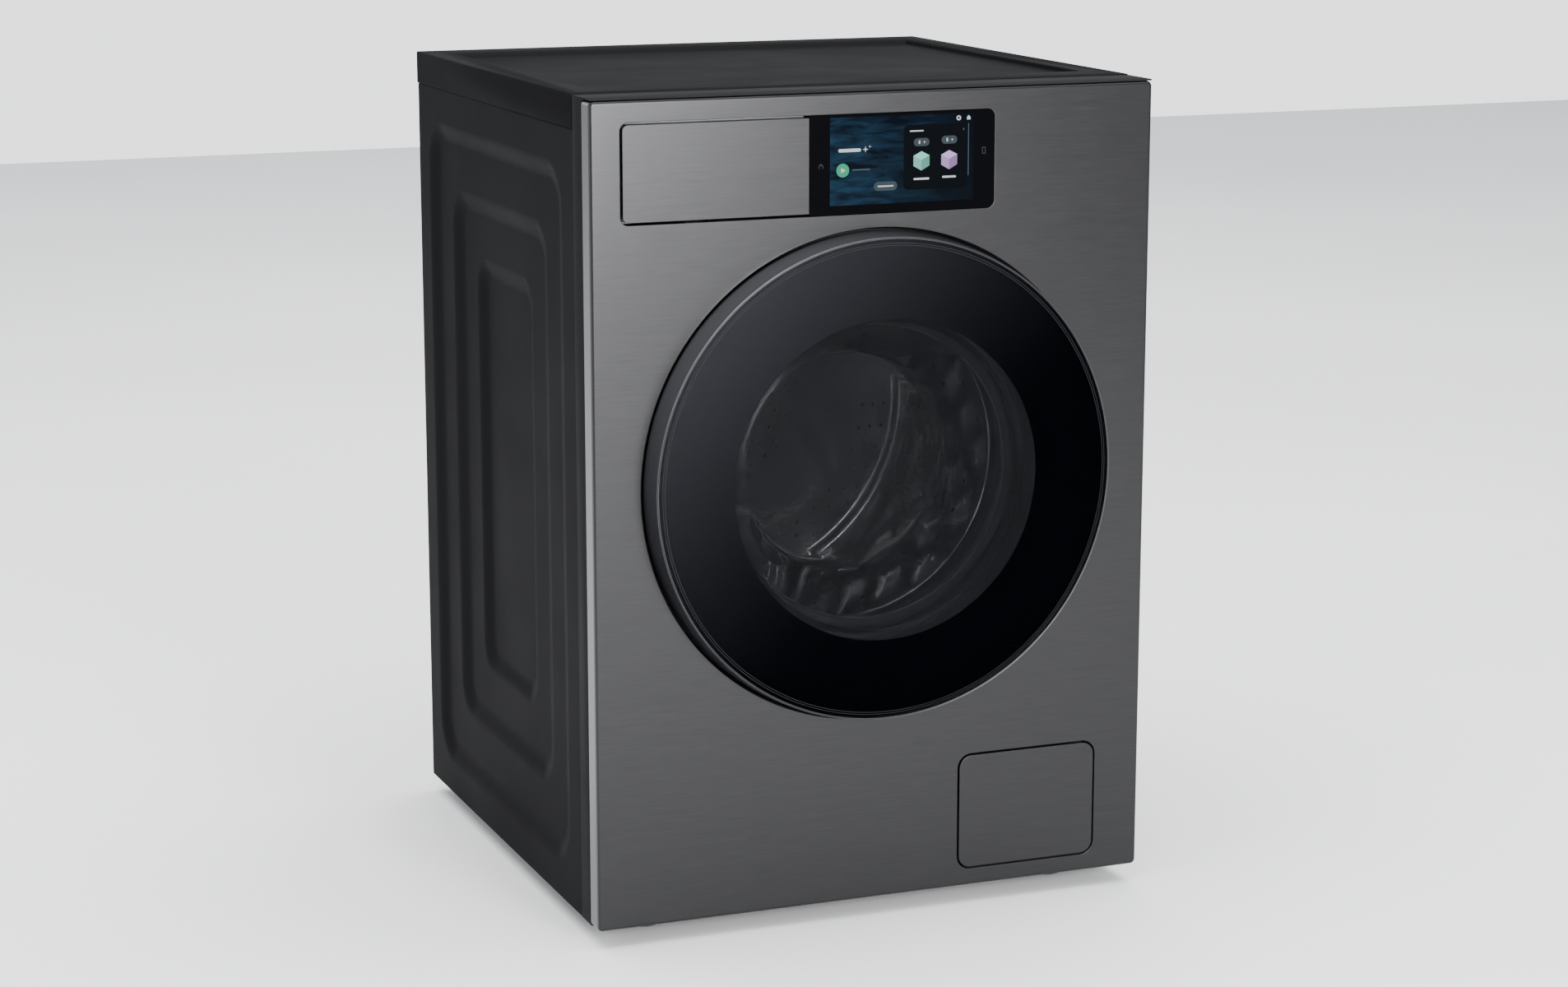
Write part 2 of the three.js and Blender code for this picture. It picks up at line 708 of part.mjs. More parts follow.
function controlHousing() {
  const y0 = screenSpan[1] + TOUCH;
  const y1 = FRAME_BACK - 3;
  const block = box([display.x0, display.x1], [y0, y1], [display.z0 + 1, display.z1 - 1]);
  const room = box(
    [display.x0 + 2, display.x1 - 2],
    [y0 - 1, y1 - 2],
    [display.z0 + 3, display.z1 - 3],
  );
  return cut(block, room);
}

place(cabinet, 'drawer_front', drawerFront(), brushedSteel);
place(cabinet, 'drawer_box', drawerBox(), greyPlastic);
place(cabinet, 'dispenser_housing', dispenserHousing(), whitePlastic);
place(cabinet, 'display_glass', displayGlass(), glossBlack);
place(cabinet, 'display_screen', plate(roundedRect(screen, 1.5), screenSpan, 2), screenBlue);
place(cabinet, 'control_housing', controlHousing(), blackPlastic);

// ---- Service flap, filter and pump --------------------------------------------------------------

const pinY = FLAP_PIN_DEPTH;
const pinZ = flap.z0 + FLAP_PIN_RISE;
const bayWall = 2.2;
const lugs = [flap.x0 + 6, flap.x1 - 9];

// Flap with two lugs behind its lower edge, each with a pin into the bay's side wall.
function serviceFlap() {
  const face = plate(roundedRect(flap, FLAP_CORNER), [0, 2.4]);
  const pieces = lugs.map((x) => box([x, x + 3], [2, pinY + 3], [pinZ - 3, pinZ + 3]));
  const leftPin = rod('x', 1.8, [bay.x0 - 1.6, pinY, pinZ], lugs[0] - bay.x0 + 2, 12);
  const rightPin = rod('x', 1.8, [lugs[1] + 2, pinY, pinZ], bay.x1 - lugs[1] - 0.4, 12);
  return join(face, ...pieces, leftPin, rightPin);
}

// Recess behind the flap, with a round opening for the filter cap.
function filterBay() {
  const shape = (grow) => roundedRect({
    x0: bay.x0 - grow,
    x1: bay.x1 + grow,
    z0: bay.z0 - grow,
    z1: bay.z1 + grow,
  }, FLAP_CORNER + FLAP_GAP + grow);
  const outside = plate(shape(bayWall + TOUCH), [behindPanel, BAY_DEPTH]);
  const inside = plate(shape(TOUCH), [0, BAY_DEPTH - bayWall]);
  const mouth = rod('y', CAP_RADIUS + 1, [filterX, BAY_DEPTH - 4, filterZ], 6, 20);
  const pinHole = rod('x', 2.3, [bay.x0 - 5, pinY, pinZ], bay.x1 - bay.x0 + 10, 12);
  return cut(outside, inside, mouth, pinHole);
}

// Screw-in cap with a grip bar in front and the lint filter behind it.
function filterCap() {
  const front = BAY_DEPTH - 12;
  const cap = turned([
    [0, front],
    [CAP_RADIUS - 2, front],
    [CAP_RADIUS, front + 2],
    [CAP_RADIUS, BAY_DEPTH + 2],
    [FILTER_RADIUS, BAY_DEPTH + 2],
    [FILTER_RADIUS, BAY_DEPTH + 68],
    [0, BAY_DEPTH + 68],
  ], 20);
  const grip = box([-CAP_RADIUS + 6, CAP_RADIUS - 6], [front - 10, front + 1], [-4, 4]);
  return join(cap, grip);
}

const pumpBack = BAY_DEPTH + 110;
const pumpInlet = [-CAP_RADIUS - 4, BAY_DEPTH + 70, 0];

// Pump body: an open barrel around the filter, its motor behind, a nozzle for the sump hose.
function pumpHousing() {
  const start = BAY_DEPTH + 2 + TOUCH;
  const bore = FILTER_RADIUS + 1.5;
  const barrel = turned([
    [bore, start],
    [CAP_RADIUS + 3, start],
    [CAP_RADIUS + 3, pumpBack - 40],
    [CAP_RADIUS - 6, pumpBack - 38],
    [CAP_RADIUS - 6, pumpBack],
    [6, pumpBack],
    [6, pumpBack - 36],
    [bore, pumpBack - 38],
  ], 16);
  const nozzle = rod('x', 15, [pumpInlet[0] - 10, pumpInlet[1], 0], 14);
  const channel = rod('x', 12, [pumpInlet[0] - 12, pumpInlet[1], 0], 30, 10);
  const saddle = box(
    [-20, 20],
    [trayFront + 8, trayFront + 38],
    [trayFloor + TOUCH - filterZ, -CAP_RADIUS],
  );
  const hollow = rod('y', bore + 1, [0, start + 10, 0], 60, 16);
  return join(cut(join(barrel, nozzle), channel), cut(saddle, hollow));
}

const filterGroup = new THREE.Group(); // on the filter's axis
filterGroup.position.set(filterX, 0, filterZ);
cabinet.add(filterGroup);
place(cabinet, 'service_flap', serviceFlap(), brushedSteel);
place(cabinet, 'filter_bay', filterBay(), blackPlastic);
place(filterGroup, 'filter_cap', filterCap(), greyPlastic);
place(filterGroup, 'pump_housing', pumpHousing(), whitePlastic);

// ---- Door ---------------------------------------------------------------------------------------

const DOOR_SIDES = 32;
const glassBack = GLASS - DOOR_PROUD;
const flangeFront = glassBack + TOUCH;
const flangeBack = flangeFront + 2;
const plateFront = DOOR_BEHIND - 3;
const plateBack = DOOR_BEHIND - 0.5;

function doorGlass() {
  const front = -DOOR_PROUD;
  return turned([
    [0, front],
    [DOOR_FRONT_RADIUS - 1.5, front],
    [DOOR_FRONT_RADIUS, front + 1.5],
    [DOOR_FRONT_RADIUS, glassBack],
    [0, glassBack],
  ], DOOR_SIDES);
}

// Tapered ring around the glass, with a flange to bond it to and a finger grip on the right.
function doorRim() {
  const ring = turned([
    [DOOR_FRONT_RADIUS, flangeFront],
    [DOOR_RADIUS, 0],
    [DOOR_RADIUS, DOOR_BEHIND],
    [DOOR_RADIUS - RIM_WALL, DOOR_BEHIND],
    [DOOR_RADIUS - RIM_WALL, 0],
    [DOOR_FRONT_RADIUS - RIM_WALL, flangeBack],
    [DOOR_FRONT_RADIUS - RIM_FLANGE, flangeBack],
    [DOOR_FRONT_RADIUS - RIM_FLANGE, flangeFront],
  ], DOOR_SIDES);
  const inner = DOOR_FRONT_RADIUS - 22;
  const gripDepth = [flangeBack - 1, plateFront - TOUCH];
  const cup = box([inner, DOOR_RADIUS], gripDepth, [-GRIP_HALF - 3, GRIP_HALF + 3]);
  const bound = rod('y', DOOR_FRONT_RADIUS - 1, [0, -DOOR_PROUD, 0], DOOR_PROUD + 2, DOOR_SIDES);
  const scoop = box(
    [inner + 3, DOOR_RADIUS + 5],
    [gripDepth[0] + 5, gripDepth[1] - 3],
    [-GRIP_HALF, GRIP_HALF],
  );
  return cut(join(ring, cup.intersect(bound)), scoop);
}

const frameBore = WINDOW_RADIUS + 2.5;
const frameTube = WINDOW_RADIUS + BOWL_FLANGE + 1;
const hingePocket = [
  [-DOOR_RADIUS, hingeX + 42],
  [flangeBack, DOOR_BEHIND + 1],
  [-HINGE_LEAF_HALF - 2, HINGE_LEAF_HALF + 2],
];

// Back cover of the door, with a tube that holds the bowl's flange and pockets for hinge and hook.
function doorInnerFrame() {
  const ring = turned([
    [frameTube, flangeBack + TOUCH],
    [frameTube + 2.5, flangeBack + TOUCH],
    [frameTube + 2.5, plateFront],
    [DOOR_RADIUS - RIM_WALL - TOUCH - 0.3, plateFront],
    [DOOR_RADIUS - RIM_WALL - TOUCH - 0.3, plateBack],
    [frameBore, plateBack],
    [frameBore, plateFront],
    [frameTube, plateFront],
  ], DOOR_SIDES);
  const hookSlot = box([hookX - 12, hookX + 9], [plateFront - 1, plateBack + 1], [-9, 9]);
  return cut(ring, box(...hingePocket), hookSlot);
}

// Thick pressed glass bowl that reaches into the drum's mouth.
function doorBowl() {
  const back = BOWL_DEPTH;
  const flangeEnd = WINDOW_RADIUS + BOWL_FLANGE;
  const front = plateFront - TOUCH - 5.2;
  return turned([
    [0, back],
    [BOWL_END_RADIUS - 10, back - 1],
    [BOWL_END_RADIUS, back - 7],
    [WINDOW_RADIUS, plateFront - TOUCH],
    [flangeEnd, plateFront - TOUCH],
    [flangeEnd, front],
    [WINDOW_RADIUS - BOWL_WALL - 2, front],
    [BOWL_END_RADIUS - BOWL_WALL, back - 11],
    [BOWL_END_RADIUS - 12, back - 6],
    [0, back - 5],
  ], DOOR_SIDES);
}

const leafBack = flangeBack + TOUCH + 1.8;

// Door's half of the hinge: a plate on the rim's flange, two ears, and the pin across them.
function hingeLeaf() {
  const span = [hingeX - 9, hingeX + 9];
  const bottom = -HINGE_LEAF_HALF;
  const leaf = box([hingeX - 9, hingeX + 40], [flangeBack + TOUCH, leafBack], [bottom, -bottom]);
  const window = box(
    [hingeX + 12, hingeX + 41],
    [flangeBack, leafBack + 1],
    [-HINGE_ARM_HALF, HINGE_ARM_HALF],
  );
  const pieces = [bottom, HINGE_ARM_HALF + 2].flatMap((z) => {
    const tall = HINGE_LEAF_HALF - HINGE_ARM_HALF - 2;
    const neck = box([span[0] + 3, span[1] - 3], [leafBack - 1, hingeY], [z, z + tall]);
    return [neck, rod('z', HINGE_KNUCKLE, [hingeX, hingeY, z], tall)];
  });
  const pin = rod('z', HINGE_PIN, [hingeX, hingeY, bottom + 1], 2 * HINGE_LEAF_HALF - 2, 12);
  return join(cut(leaf, window), ...pieces, pin);
}

// Fixed half of the hinge: a knuckle, an arm that clears the door's edge as it turns, and a foot.
function hingeBracket() {
  const at = (points) => points.map(([x, y]) => [hingeX + x, hingeY + y]);
  const footBack = DISH_FLOOR - TOUCH + HINGE_IN_FRONT;
  const outline = at([
    [0, -5.8],
    [38, -5.8],
    [38, footBack],
    [-8, footBack],
    [-8, footBack - 3],
    [31, footBack - 3],
    [31, 0.4],
    [0, 0.4],
  ]);
  const span = [-HINGE_ARM_HALF, HINGE_ARM_HALF];
  const arm = column(outline, span);
  const knuckle = rod('z', HINGE_KNUCKLE, [hingeX, hingeY, span[0]], span[1] - span[0]);
  const bore = rod('z', HINGE_PIN + 0.4, [hingeX, hingeY, span[0] - 1], span[1] - span[0] + 2, 12);
  return cut(join(arm, knuckle), bore);
}

const hookPivotY = -4;
const hookReach = DISH_FLOOR + 14;

// Sprung hook on the door that the lock takes hold of.
function doorHook() {
  const outline = [
    [hookX - 4, hookPivotY - 4],
    [hookX + 4, hookPivotY - 4],
    [hookX + 4, hookReach - 7],
    [hookX + 8, hookReach - 7],
    [hookX + 2, hookReach],
    [hookX - 3, hookReach],
    [hookX - 4, hookReach - 6],
  ];
  return column(outline, [-6, 6]);
}

// Black moulded dish around the door, from the panel's opening to the gasket.
function doorSurround() {
  const w = DISH_WALL;
  const dish = turned([
    [holeRadius + 11, behindPanel],
    [holeRadius + 0.6, behindPanel],
    [holeRadius - 1, DISH_FLOOR],
    [DISH_INNER + 16, DISH_FLOOR],
    [DISH_INNER, DISH_FLOOR + 14],
    [DISH_INNER - 3, DISH_FLOOR + 21],
    [DISH_INNER, DISH_FLOOR + 22],
    [DISH_INNER + 2.8, DISH_FLOOR + 15.5],
    [DISH_INNER + 17, DISH_FLOOR + w],
    [holeRadius + 1.4, DISH_FLOOR + w],
    [holeRadius + 3, behindPanel + w],
    [holeRadius + 11, behindPanel + w],
  ], DOOR_SIDES);
  const hookSlot = box([hookX - 13, hookX + 14], [DISH_FLOOR - 1, DISH_FLOOR + 4], [-11, 11]);
  return cut(dish, hookSlot);
}

// Door lock behind the dish, with a pocket that the hook drops into.
function doorLock() {
  const y0 = DISH_FLOOR + DISH_WALL + TOUCH;
  const body = box([hookX - 17, hookX + 18], [y0, y0 + 19], [-32, 34]);
  const pocket = box([hookX - 13, hookX + 14], [y0 - 1, y0 + 15], [-11, 11]);
  return cut(body, pocket);
}

// Bellows between the dish and the tub's mouth, with the lip that meets the bowl.
function doorGasket() {
  const start = DISH_FLOOR;
  const line = [
    [DISH_INNER - 19, start + 9],
    [DISH_INNER - 7, start + 13],
    [DISH_INNER - 7, start + 28],
    [tubMouth - 3, start + 34],
    [tubMouth - 3, start + 39],
    [DISH_INNER - 3, start + 43],
    [DISH_INNER - 3, TUB_FRONT - 2.2],
    [tubMouth + 4, TUB_FRONT - 2.2],
  ];
  return turned(ribbon(line, 2.6), 20);
}

place(onAxis, 'door_glass', doorGlass(), tintedGlass);
place(onAxis, 'door_rim', doorRim(), glossBlack);
place(onAxis, 'door_inner_frame', doorInnerFrame(), blackPlastic);
place(onAxis, 'door_bowl', doorBowl(), bowlGlass);
place(onAxis, 'door_hinge_leaf', hingeLeaf(), zinc);
place(onAxis, 'door_hinge_bracket', hingeBracket(), zinc);
place(onAxis, 'door_hook', doorHook(), zinc);
place(onAxis, 'door_surround', doorSurround(), blackPlastic);
place(onAxis, 'door_lock', doorLock(), blackPlastic);
place(onAxis, 'door_gasket', doorGasket(), greyRubber);

// ---- Tub ----------------------------------------------------------------------------------------

const TUB_SIDES = 20;
const tubFlange = tubRadius + 6;
const [troughHalf, troughDrop] = TROUGH;
const troughBottom = -tubRadius - troughDrop;
const troughSpan = [TUB_SPLIT + 12, tubBack - 6];
const springFoot = Math.sqrt(tubRadius ** 2 - SPRING_X ** 2) + 20;
const damperHead = -Math.sqrt(tubRadius ** 2 - DAMPER_X ** 2) - 15;
const heaterZ = troughBottom + 14;
const heaterX = 25;
const sumpNozzle = { x: 40, y: TUB_SPLIT + 30, z: troughBottom - 12 };

function tubFront() {
  const end = TUB_SPLIT - TOUCH;
  return turned([
    [tubMouth, TUB_FRONT],
    [tubRadius - 4, TUB_FRONT],
    [tubRadius, TUB_FRONT + 5],
    [tubRadius, end - 10],
    [tubFlange, end - 10],
    [tubFlange, end],
    [tubInner, end],
    [tubInner, TUB_FRONT + 6],
    [tubInner - 2, TUB_FRONT + 4],
    [tubMouth, TUB_FRONT + 4],
  ], TUB_SIDES);
}

// Back half of the tub: bearing hub, heater trough with the sump outlet, ears for springs, dampers.
function tubRear() {
  const start = TUB_SPLIT + TOUCH;
  const hub = BEARING_RADIUS + 15;
  const shell = turned([
    [tubInner, start],
    [tubFlange, start],
    [tubFlange, start + 10],
    [tubRadius, start + 10],
    [tubRadius, tubBack - 12],
    [tubRadius - 6, tubBack - 6],
    [hub, tubBack],
    [hub, hubBack],
    [BEARING_RADIUS + TOUCH, hubBack],
    [BEARING_RADIUS + TOUCH, tubBack + 16],
    [BEARING_RADIUS - 5, tubBack + 16],
    [BEARING_RADIUS - 5, tubBack - 3],
    [BEARING_RADIUS + TOUCH, tubBack - 3],
    [BEARING_RADIUS + TOUCH, tubBack - 26],
    [hub, tubBack - 26],
    [hub, tubBack - 6.5],
    [tubInner - 4, tubBack - 12.5],
    [tubInner, tubBack - 17],
  ], TUB_SIDES);
  const trough = box([-troughHalf, troughHalf], troughSpan, [troughBottom, -tubRadius + 26]);
  const bore = rod('y', tubInner + 2, [0, TUB_SPLIT, 0], tubBack - TUB_SPLIT - 8, TUB_SIDES);
  const basin = box(
    [-troughHalf + 4, troughHalf - 4],
    [troughSpan[0] + 4, troughSpan[1] - 4],
    [troughBottom + 4, -tubInner + 12],
  );
  const outlet = rod('z', 15, [sumpNozzle.x, sumpNozzle.y, sumpNozzle.z], 14);
  const drainHole = rod('z', 12, [sumpNozzle.x, sumpNozzle.y, sumpNozzle.z - 1], 20, 10);
  const heaterHoles = [-1, 1].map((sign) => (
    rod('y', 4.6, [sign * heaterX, troughSpan[1] - 8, heaterZ], 12, 12)
  ));
  const ears = [-1, 1].flatMap((sign) => {
    const across = (x, half) => [sign * x - half, sign * x + half];
    const springSpan = [SPRING_DEPTH - 5, SPRING_DEPTH + 5];
    const damperSpan = [DAMPER_DEPTH - 12, DAMPER_DEPTH + 12];
    return [
      box(across(SPRING_X, 6), springSpan, [springFoot - 26, springFoot]),
      box(across(DAMPER_X, 12), damperSpan, [damperHead, damperHead + 14]),
    ];
  });
  const body = cut(join(shell, cut(trough, bore), outlet, ...ears), basin, drainHole, ...heaterHoles);
  return body;
}

function bearing(y0, y1) {
  return turned([
    [SHAFT_RADIUS + TOUCH, y0],
    [BEARING_RADIUS, y0],
    [BEARING_RADIUS, y1],
    [SHAFT_RADIUS + TOUCH, y1],
  ], TUB_SIDES);
}

function frontWeight() {
  const back = TUB_FRONT - 0.4;
  return turned([
    [tubMouth + 11, back - 24],
    [tubRadius - 16, back - 24],
    [tubRadius - 10, back - 18],
    [tubRadius - 10, back],
    [tubMouth + 11, back],
  ], 24);
}

function topWeight() {
  const left = Math.max(-60, trayBox.x1 + 19);
  const block = box([left, 140], [TUB_FRONT + 75, TUB_SPLIT - 14], [200, tubRadius + 56]);
  const seat = rod('y', tubRadius + 0.6, [0, TUB_FRONT, 0], TUB_SPLIT, TUB_SIDES);
  return cut(block, seat);
}

// Tubular heating element: two rods joined at the front, and the flange that seals the tub's wall.
function heater() {
  const start = troughSpan[0] + 14;
  const back = troughSpan[1] + TOUCH;
  const length = back - start + 14;
  const rods = [-1, 1].map((sign) => rod('y', 4, [sign * heaterX, start, heaterZ], length, 12));
  const bend = rod('x', 4, [-heaterX, start + 3, heaterZ], 2 * heaterX, 12);
  const flange = box([-38, 38], [back, back + 3], [heaterZ - 10, heaterZ + 10]);
  return join(...rods, bend, flange);
}

function motorHousing() {
  const front = pulleyFront - 148;
  const back = pulleyFront - 4;
  const drum = turned([
    [0, front],
    [MOTOR_RADIUS - 12, front],
    [MOTOR_RADIUS, front + 10],
    [MOTOR_RADIUS, back - 10],
    [MOTOR_RADIUS - 12, back],
    [8, back],
    [8, back - 44],
    [0, back - 44],
  ], 18);
  const lugTop = MOTOR_DROP + troughBottom - TOUCH;
  const lugsUp = [front + 20, front + 70].map((y) => (
    box([-16, 16], [y, y + 18], [MOTOR_RADIUS - 6, lugTop])
  ));
  return join(drum, ...lugsUp);
}

// Belt around the drum's pulley and the motor's.
function driveBelt() {
  const slack = 1.1;
  const loop = (grow) => {
    const radii = [PULLEY_RADIUS + slack + grow, MOTOR_PULLEY_RADIUS + slack + grow];
    const lean = Math.asin((radii[0] - radii[1]) / MOTOR_DROP);
    const shape = new THREE.Shape();
    shape.absarc(0, 0, radii[0], -lean, Math.PI + lean);
    shape.absarc(0, -MOTOR_DROP, radii[1], Math.PI + lean, 2 * Math.PI - lean);
    return shape;
  };
  const span = [pulleyFront + 1, pulleyFront + PULLEY_WIDTH - 1];
  return cut(plate(loop(BELT), span, 16), plate(loop(0), [span[0] - 1, span[1] + 1], 16));
}

function springCurve() {
  const top = brace.z0 - AXIS_HEIGHT - TOUCH - 0.2;
  const bottom = springFoot + TOUCH + 0.2;
  const turns = 7;
  const radius = 13;
  const tail = 14;
  const points = [new THREE.Vector3(0, 0, bottom), new THREE.Vector3(0, 0, bottom + 5)];
  const steps = turns * 8;
  for (let i = 0; i <= steps; i += 1) {
    const angle = (2 * Math.PI * turns * i) / steps;
    const z = bottom + tail + ((top - bottom - 2 * tail) * i) / steps;
    points.push(new THREE.Vector3(radius * Math.cos(angle), radius * Math.sin(angle), z));
  }
  points.push(new THREE.Vector3(0, 0, top - 5), new THREE.Vector3(0, 0, top));
  return new THREE.CatmullRomCurve3(points);
}

// Foot end of the damper, with a blind bore for its rod.
function damperCylinder() {
  const top = trayFloor + 126;
  return turnedUp([
    [0, trayFloor + TOUCH],
    [20, trayFloor + TOUCH],
    [20, top],
    [12.8, top],
    [12.8, trayFloor + 12],
    [0, trayFloor + 12],
  ], 14);
}

function damperRod() {
  const top = AXIS_HEIGHT + damperHead - TOUCH;
  return turnedUp([
    [0, trayFloor + 34],
    [12, trayFloor + 34],
    [12, top - 8],
    [16, top - 6],
    [16, top],
    [0, top],
  ], 14);
}

// Moulded hose from the tub's sump down and forward to the pump.
function sumpHose() {
  const end = new THREE.Vector3(filterX + pumpInlet[0] - 11, pumpInlet[1], filterZ);
  const start = new THREE.Vector3(sumpNozzle.x, sumpNozzle.y, AXIS_HEIGHT + sumpNozzle.z - 2);
  const along = (point, x, y, z) => point.clone().add(new THREE.Vector3(x, y, z));
  const curve = new THREE.CatmullRomCurve3([
    start,
    along(start, 0, 0, -18),
    along(start, 2, -60, -52),
    along(end, -42, 40, 4),
    along(end, -16, 0, 0),
    end,
  ]);
  return tube(curve, 14, 16, 8);
}

place(onAxis, 'tub_front', tubFront(), whitePlastic);
place(onAxis, 'tub_rear', tubRear(), whitePlastic);
place(onAxis, 'bearing_front', bearing(tubBack - 23, tubBack - 3.4), zinc);
place(onAxis, 'bearing_rear', bearing(tubBack + 16.4, hubBack - TOUCH), zinc);
place(onAxis, 'counterweight_front', frontWeight(), concrete);
place(onAxis, 'counterweight_top', topWeight(), concrete);
place(onAxis, 'heater', heater(), zinc);
place(onAxis, 'drive_belt', driveBelt(), blackRubber);
place(cabinet, 'sump_hose', sumpHose(), blackRubber);
for (const [name, sign] of [['left', -1], ['right', 1]]) {
  const hanger = new THREE.Group();
  hanger.position.set(sign * SPRING_X, SPRING_DEPTH, 0);
  place(hanger, `tub_spring_${name}`, tube(springCurve(), 2.2, 60, 4), zinc);
  onAxis.add(hanger);
  const strut = new THREE.Group();
  strut.position.set(sign * DAMPER_X, DAMPER_DEPTH, 0);
  place(strut, `damper_cylinder_${name}`, damperCylinder(), blackPlastic);
  place(strut, `damper_rod_${name}`, damperRod(), zinc);
  cabinet.add(strut);
}

// ---- Drum and drive -----------------------------------------------------------------------------

const DRUM_SIDES = 24;
const drumFront = TUB_FRONT + 18;

function drumShell() {
  const s = DRUM_SHEET;
  return turned([
    [DRUM_MOUTH, drumFront],
    [drumRadius - 8, drumFront],
    [drumRadius, drumFront + 8],
    [drumRadius, drumBack],
    [drumRadius - s, drumBack],
    [drumRadius - s, drumFront + 8.5],
    [drumRadius - 8.5, drumFront + s],
    [DRUM_MOUTH, drumFront + s],
  ], DRUM_SIDES);
}

// Pressed back plate of the drum, dished towards its middle.
function drumBackPlate() {
  const edge = drumRadius - DRUM_SHEET - 0.6;
  return turned([
    [0, drumBack - 20],
    [70, drumBack - 20],
    [120, drumBack - 10],
    [edge, drumBack - 10],
    [edge, drumBack - 7],
    [119, drumBack - 7],
    [69, drumBack - 17],
    [0, drumBack - 17],
  ], DRUM_SIDES);
}

// Cast spider with the drum's shaft pressed into its hub.
function drumSpider() {
  const hub = turned([
    [0, drumBack - 16.6],
    [34, drumBack - 16.6],
    [34, drumBack + 17],
    [SHAFT_RADIUS, drumBack + 17],
    [SHAFT_RADIUS, pulleyFront + PULLEY_WIDTH + 4],
    [0, pulleyFront + PULLEY_WIDTH + 4],
  ], TUB_SIDES);
  const reach = drumRadius - DRUM_SHEET - 3;
  const arms = [0, 1, 2].map((i) => {
    const arm = new THREE.BoxGeometry(reach - 20, 11, 40);
    arm.translate((reach + 20) / 2, drumBack + 0.5, 0);
    return solid(arm.rotateY((-2 * Math.PI * i) / 3 - Math.PI / 2));
  });
  return join(hub, ...arms);
}

// Lifter: a tapered ridge along the drum's wall.
function lifter(turn) {
  const inner = drumRadius - DRUM_SHEET - 2;
  const y0 = drumFront + 14;
  const y1 = drumBack - 12;
  const ridge = new THREE.Shape([
    new THREE.Vector2(-30, inner - 3),
    new THREE.Vector2(-9, inner - LIFTER_HEIGHT),
    new THREE.Vector2(9, inner - LIFTER_HEIGHT),
    new THREE.Vector2(30, inner - 3),
  ]);
  const geometry = new THREE.ExtrudeGeometry(ridge, { depth: y1 - y0, bevelEnabled: false });
  geometry.rotateX(Math.PI / 2).translate(0, y1, 0).rotateY(turn);
  return solid(geometry);
}

function drumPulley() {
  const y0 = pulleyFront;
  const y1 = y0 + PULLEY_WIDTH;
  const middle = (y0 + y1) / 2;
  const wheel = turned([
    [SHAFT_RADIUS + TOUCH, y0 - 3],
    [SHAFT_RADIUS + 9, y0 - 3],
    [SHAFT_RADIUS + 9, middle - 2],
    [PULLEY_RADIUS - 8, middle - 2],
    [PULLEY_RADIUS - 8, y0],
    [PULLEY_RADIUS, y0],
    [PULLEY_RADIUS, y1],
    [PULLEY_RADIUS - 8, y1],
    [PULLEY_RADIUS - 8, middle + 2],
    [SHAFT_RADIUS + 9, middle + 2],
    [SHAFT_RADIUS + 9, y1 + 2],
    [SHAFT_RADIUS + TOUCH, y1 + 2],
  ], TUB_SIDES);
  const holes = [0, 1, 2].map((i) => {
    const angle = (2 * Math.PI * i) / 3;
    const x = 78 * Math.cos(angle);
    const z = 78 * Math.sin(angle);
    return rod('y', 30, [x, y0 - 1, z], PULLEY_WIDTH + 2, 10);
  });
  return cut(wheel, ...holes);
}

function motorPulley() {
  const y0 = pulleyFront;
  return turned([
    [0, y0 - 46],
    [6.5, y0 - 46],
    [6.5, y0],
    [MOTOR_PULLEY_RADIUS, y0],
    [MOTOR_PULLEY_RADIUS, y0 + PULLEY_WIDTH],
    [0, y0 + PULLEY_WIDTH],
  ], 16);
}

place(onAxis, 'drum_shell', drumShell(), drumSteel);
place(onAxis, 'drum_back', drumBackPlate(), drumSteel);
place(onAxis, 'drum_spider', drumSpider(), castAluminium);
place(onAxis, 'drum_pulley', drumPulley(), castAluminium);
['a', 'b', 'c'].forEach((letter, i) => {
  place(onAxis, `drum_lifter_${letter}`, lifter((Math.PI / 3) * (2 * i + 1)), greyPlastic);
});
const motorGroup = new THREE.Group();
motorGroup.position.z = -MOTOR_DROP;
onAxis.add(motorGroup);
place(motorGroup, 'motor_housing', motorHousing(), castAluminium);
place(motorGroup, 'motor_pulley', motorPulley(), zinc);

// ---- Water and power connections at the back ----------------------------------------------------

// Solenoid valve with a threaded stub for the supply hose.
function inletValve() {
  const { x, z } = inlet;
  const block = box([x - 22, x + 22], [DEPTH - 78, DEPTH - 24], [z - 20, z + 20]);
  const stub = rod('y', spigotRadius, [x, DEPTH - 25, z], 24);
  const collar = rod('y', spigotRadius + 5, [x, DEPTH - 12, z], 9);
  const bore = rod('y', spigotRadius - 3, [x, DEPTH - 20, z], 21);
  const outlet = rod('y', 8, [x, DEPTH - 98, z], 22, 16);
  return cut(join(block, stub, collar, outlet), bore);
}

// Elbow that the drain hose leaves by.
function drainElbow() {
  const { x, z } = drain;
  const run = rod('y', spigotRadius, [x, DEPTH - 46, z], 45);
  const drop = rod('z', spigotRadius, [x, DEPTH - 34, z - 46], 46);
  const collar = rod('y', spigotRadius + 6, [x, DEPTH - 7, z], 4);
  const boreRun = rod('y', spigotRadius - 2.5, [x, DEPTH - 38, z], 40, 12);
  const boreDrop = rod('z', spigotRadius - 2.5, [x, DEPTH - 34, z - 47], 48, 12);
  return cut(join(run, drop, collar), boreRun, boreDrop);
}

// Grommet that the mains lead leaves by.
function cableGland() {
  const { x, z } = gland;
  const barrel = rod('y', glandRadius, [x, DEPTH - 18, z], 17.6);
  const collar = rod('y', glandRadius + 5, [x, DEPTH - 6, z], 4);
  const bore = rod('y', 4, [x, DEPTH - 20, z], 22, 12);
  return cut(join(barrel, collar), bore);
}

place(cabinet, 'water_inlet_valve', inletValve(), whitePlastic);
place(cabinet, 'drain_elbow', drainElbow(), blackPlastic);
place(cabinet, 'cable_gland', cableGland(), blackRubber);

export default machine;
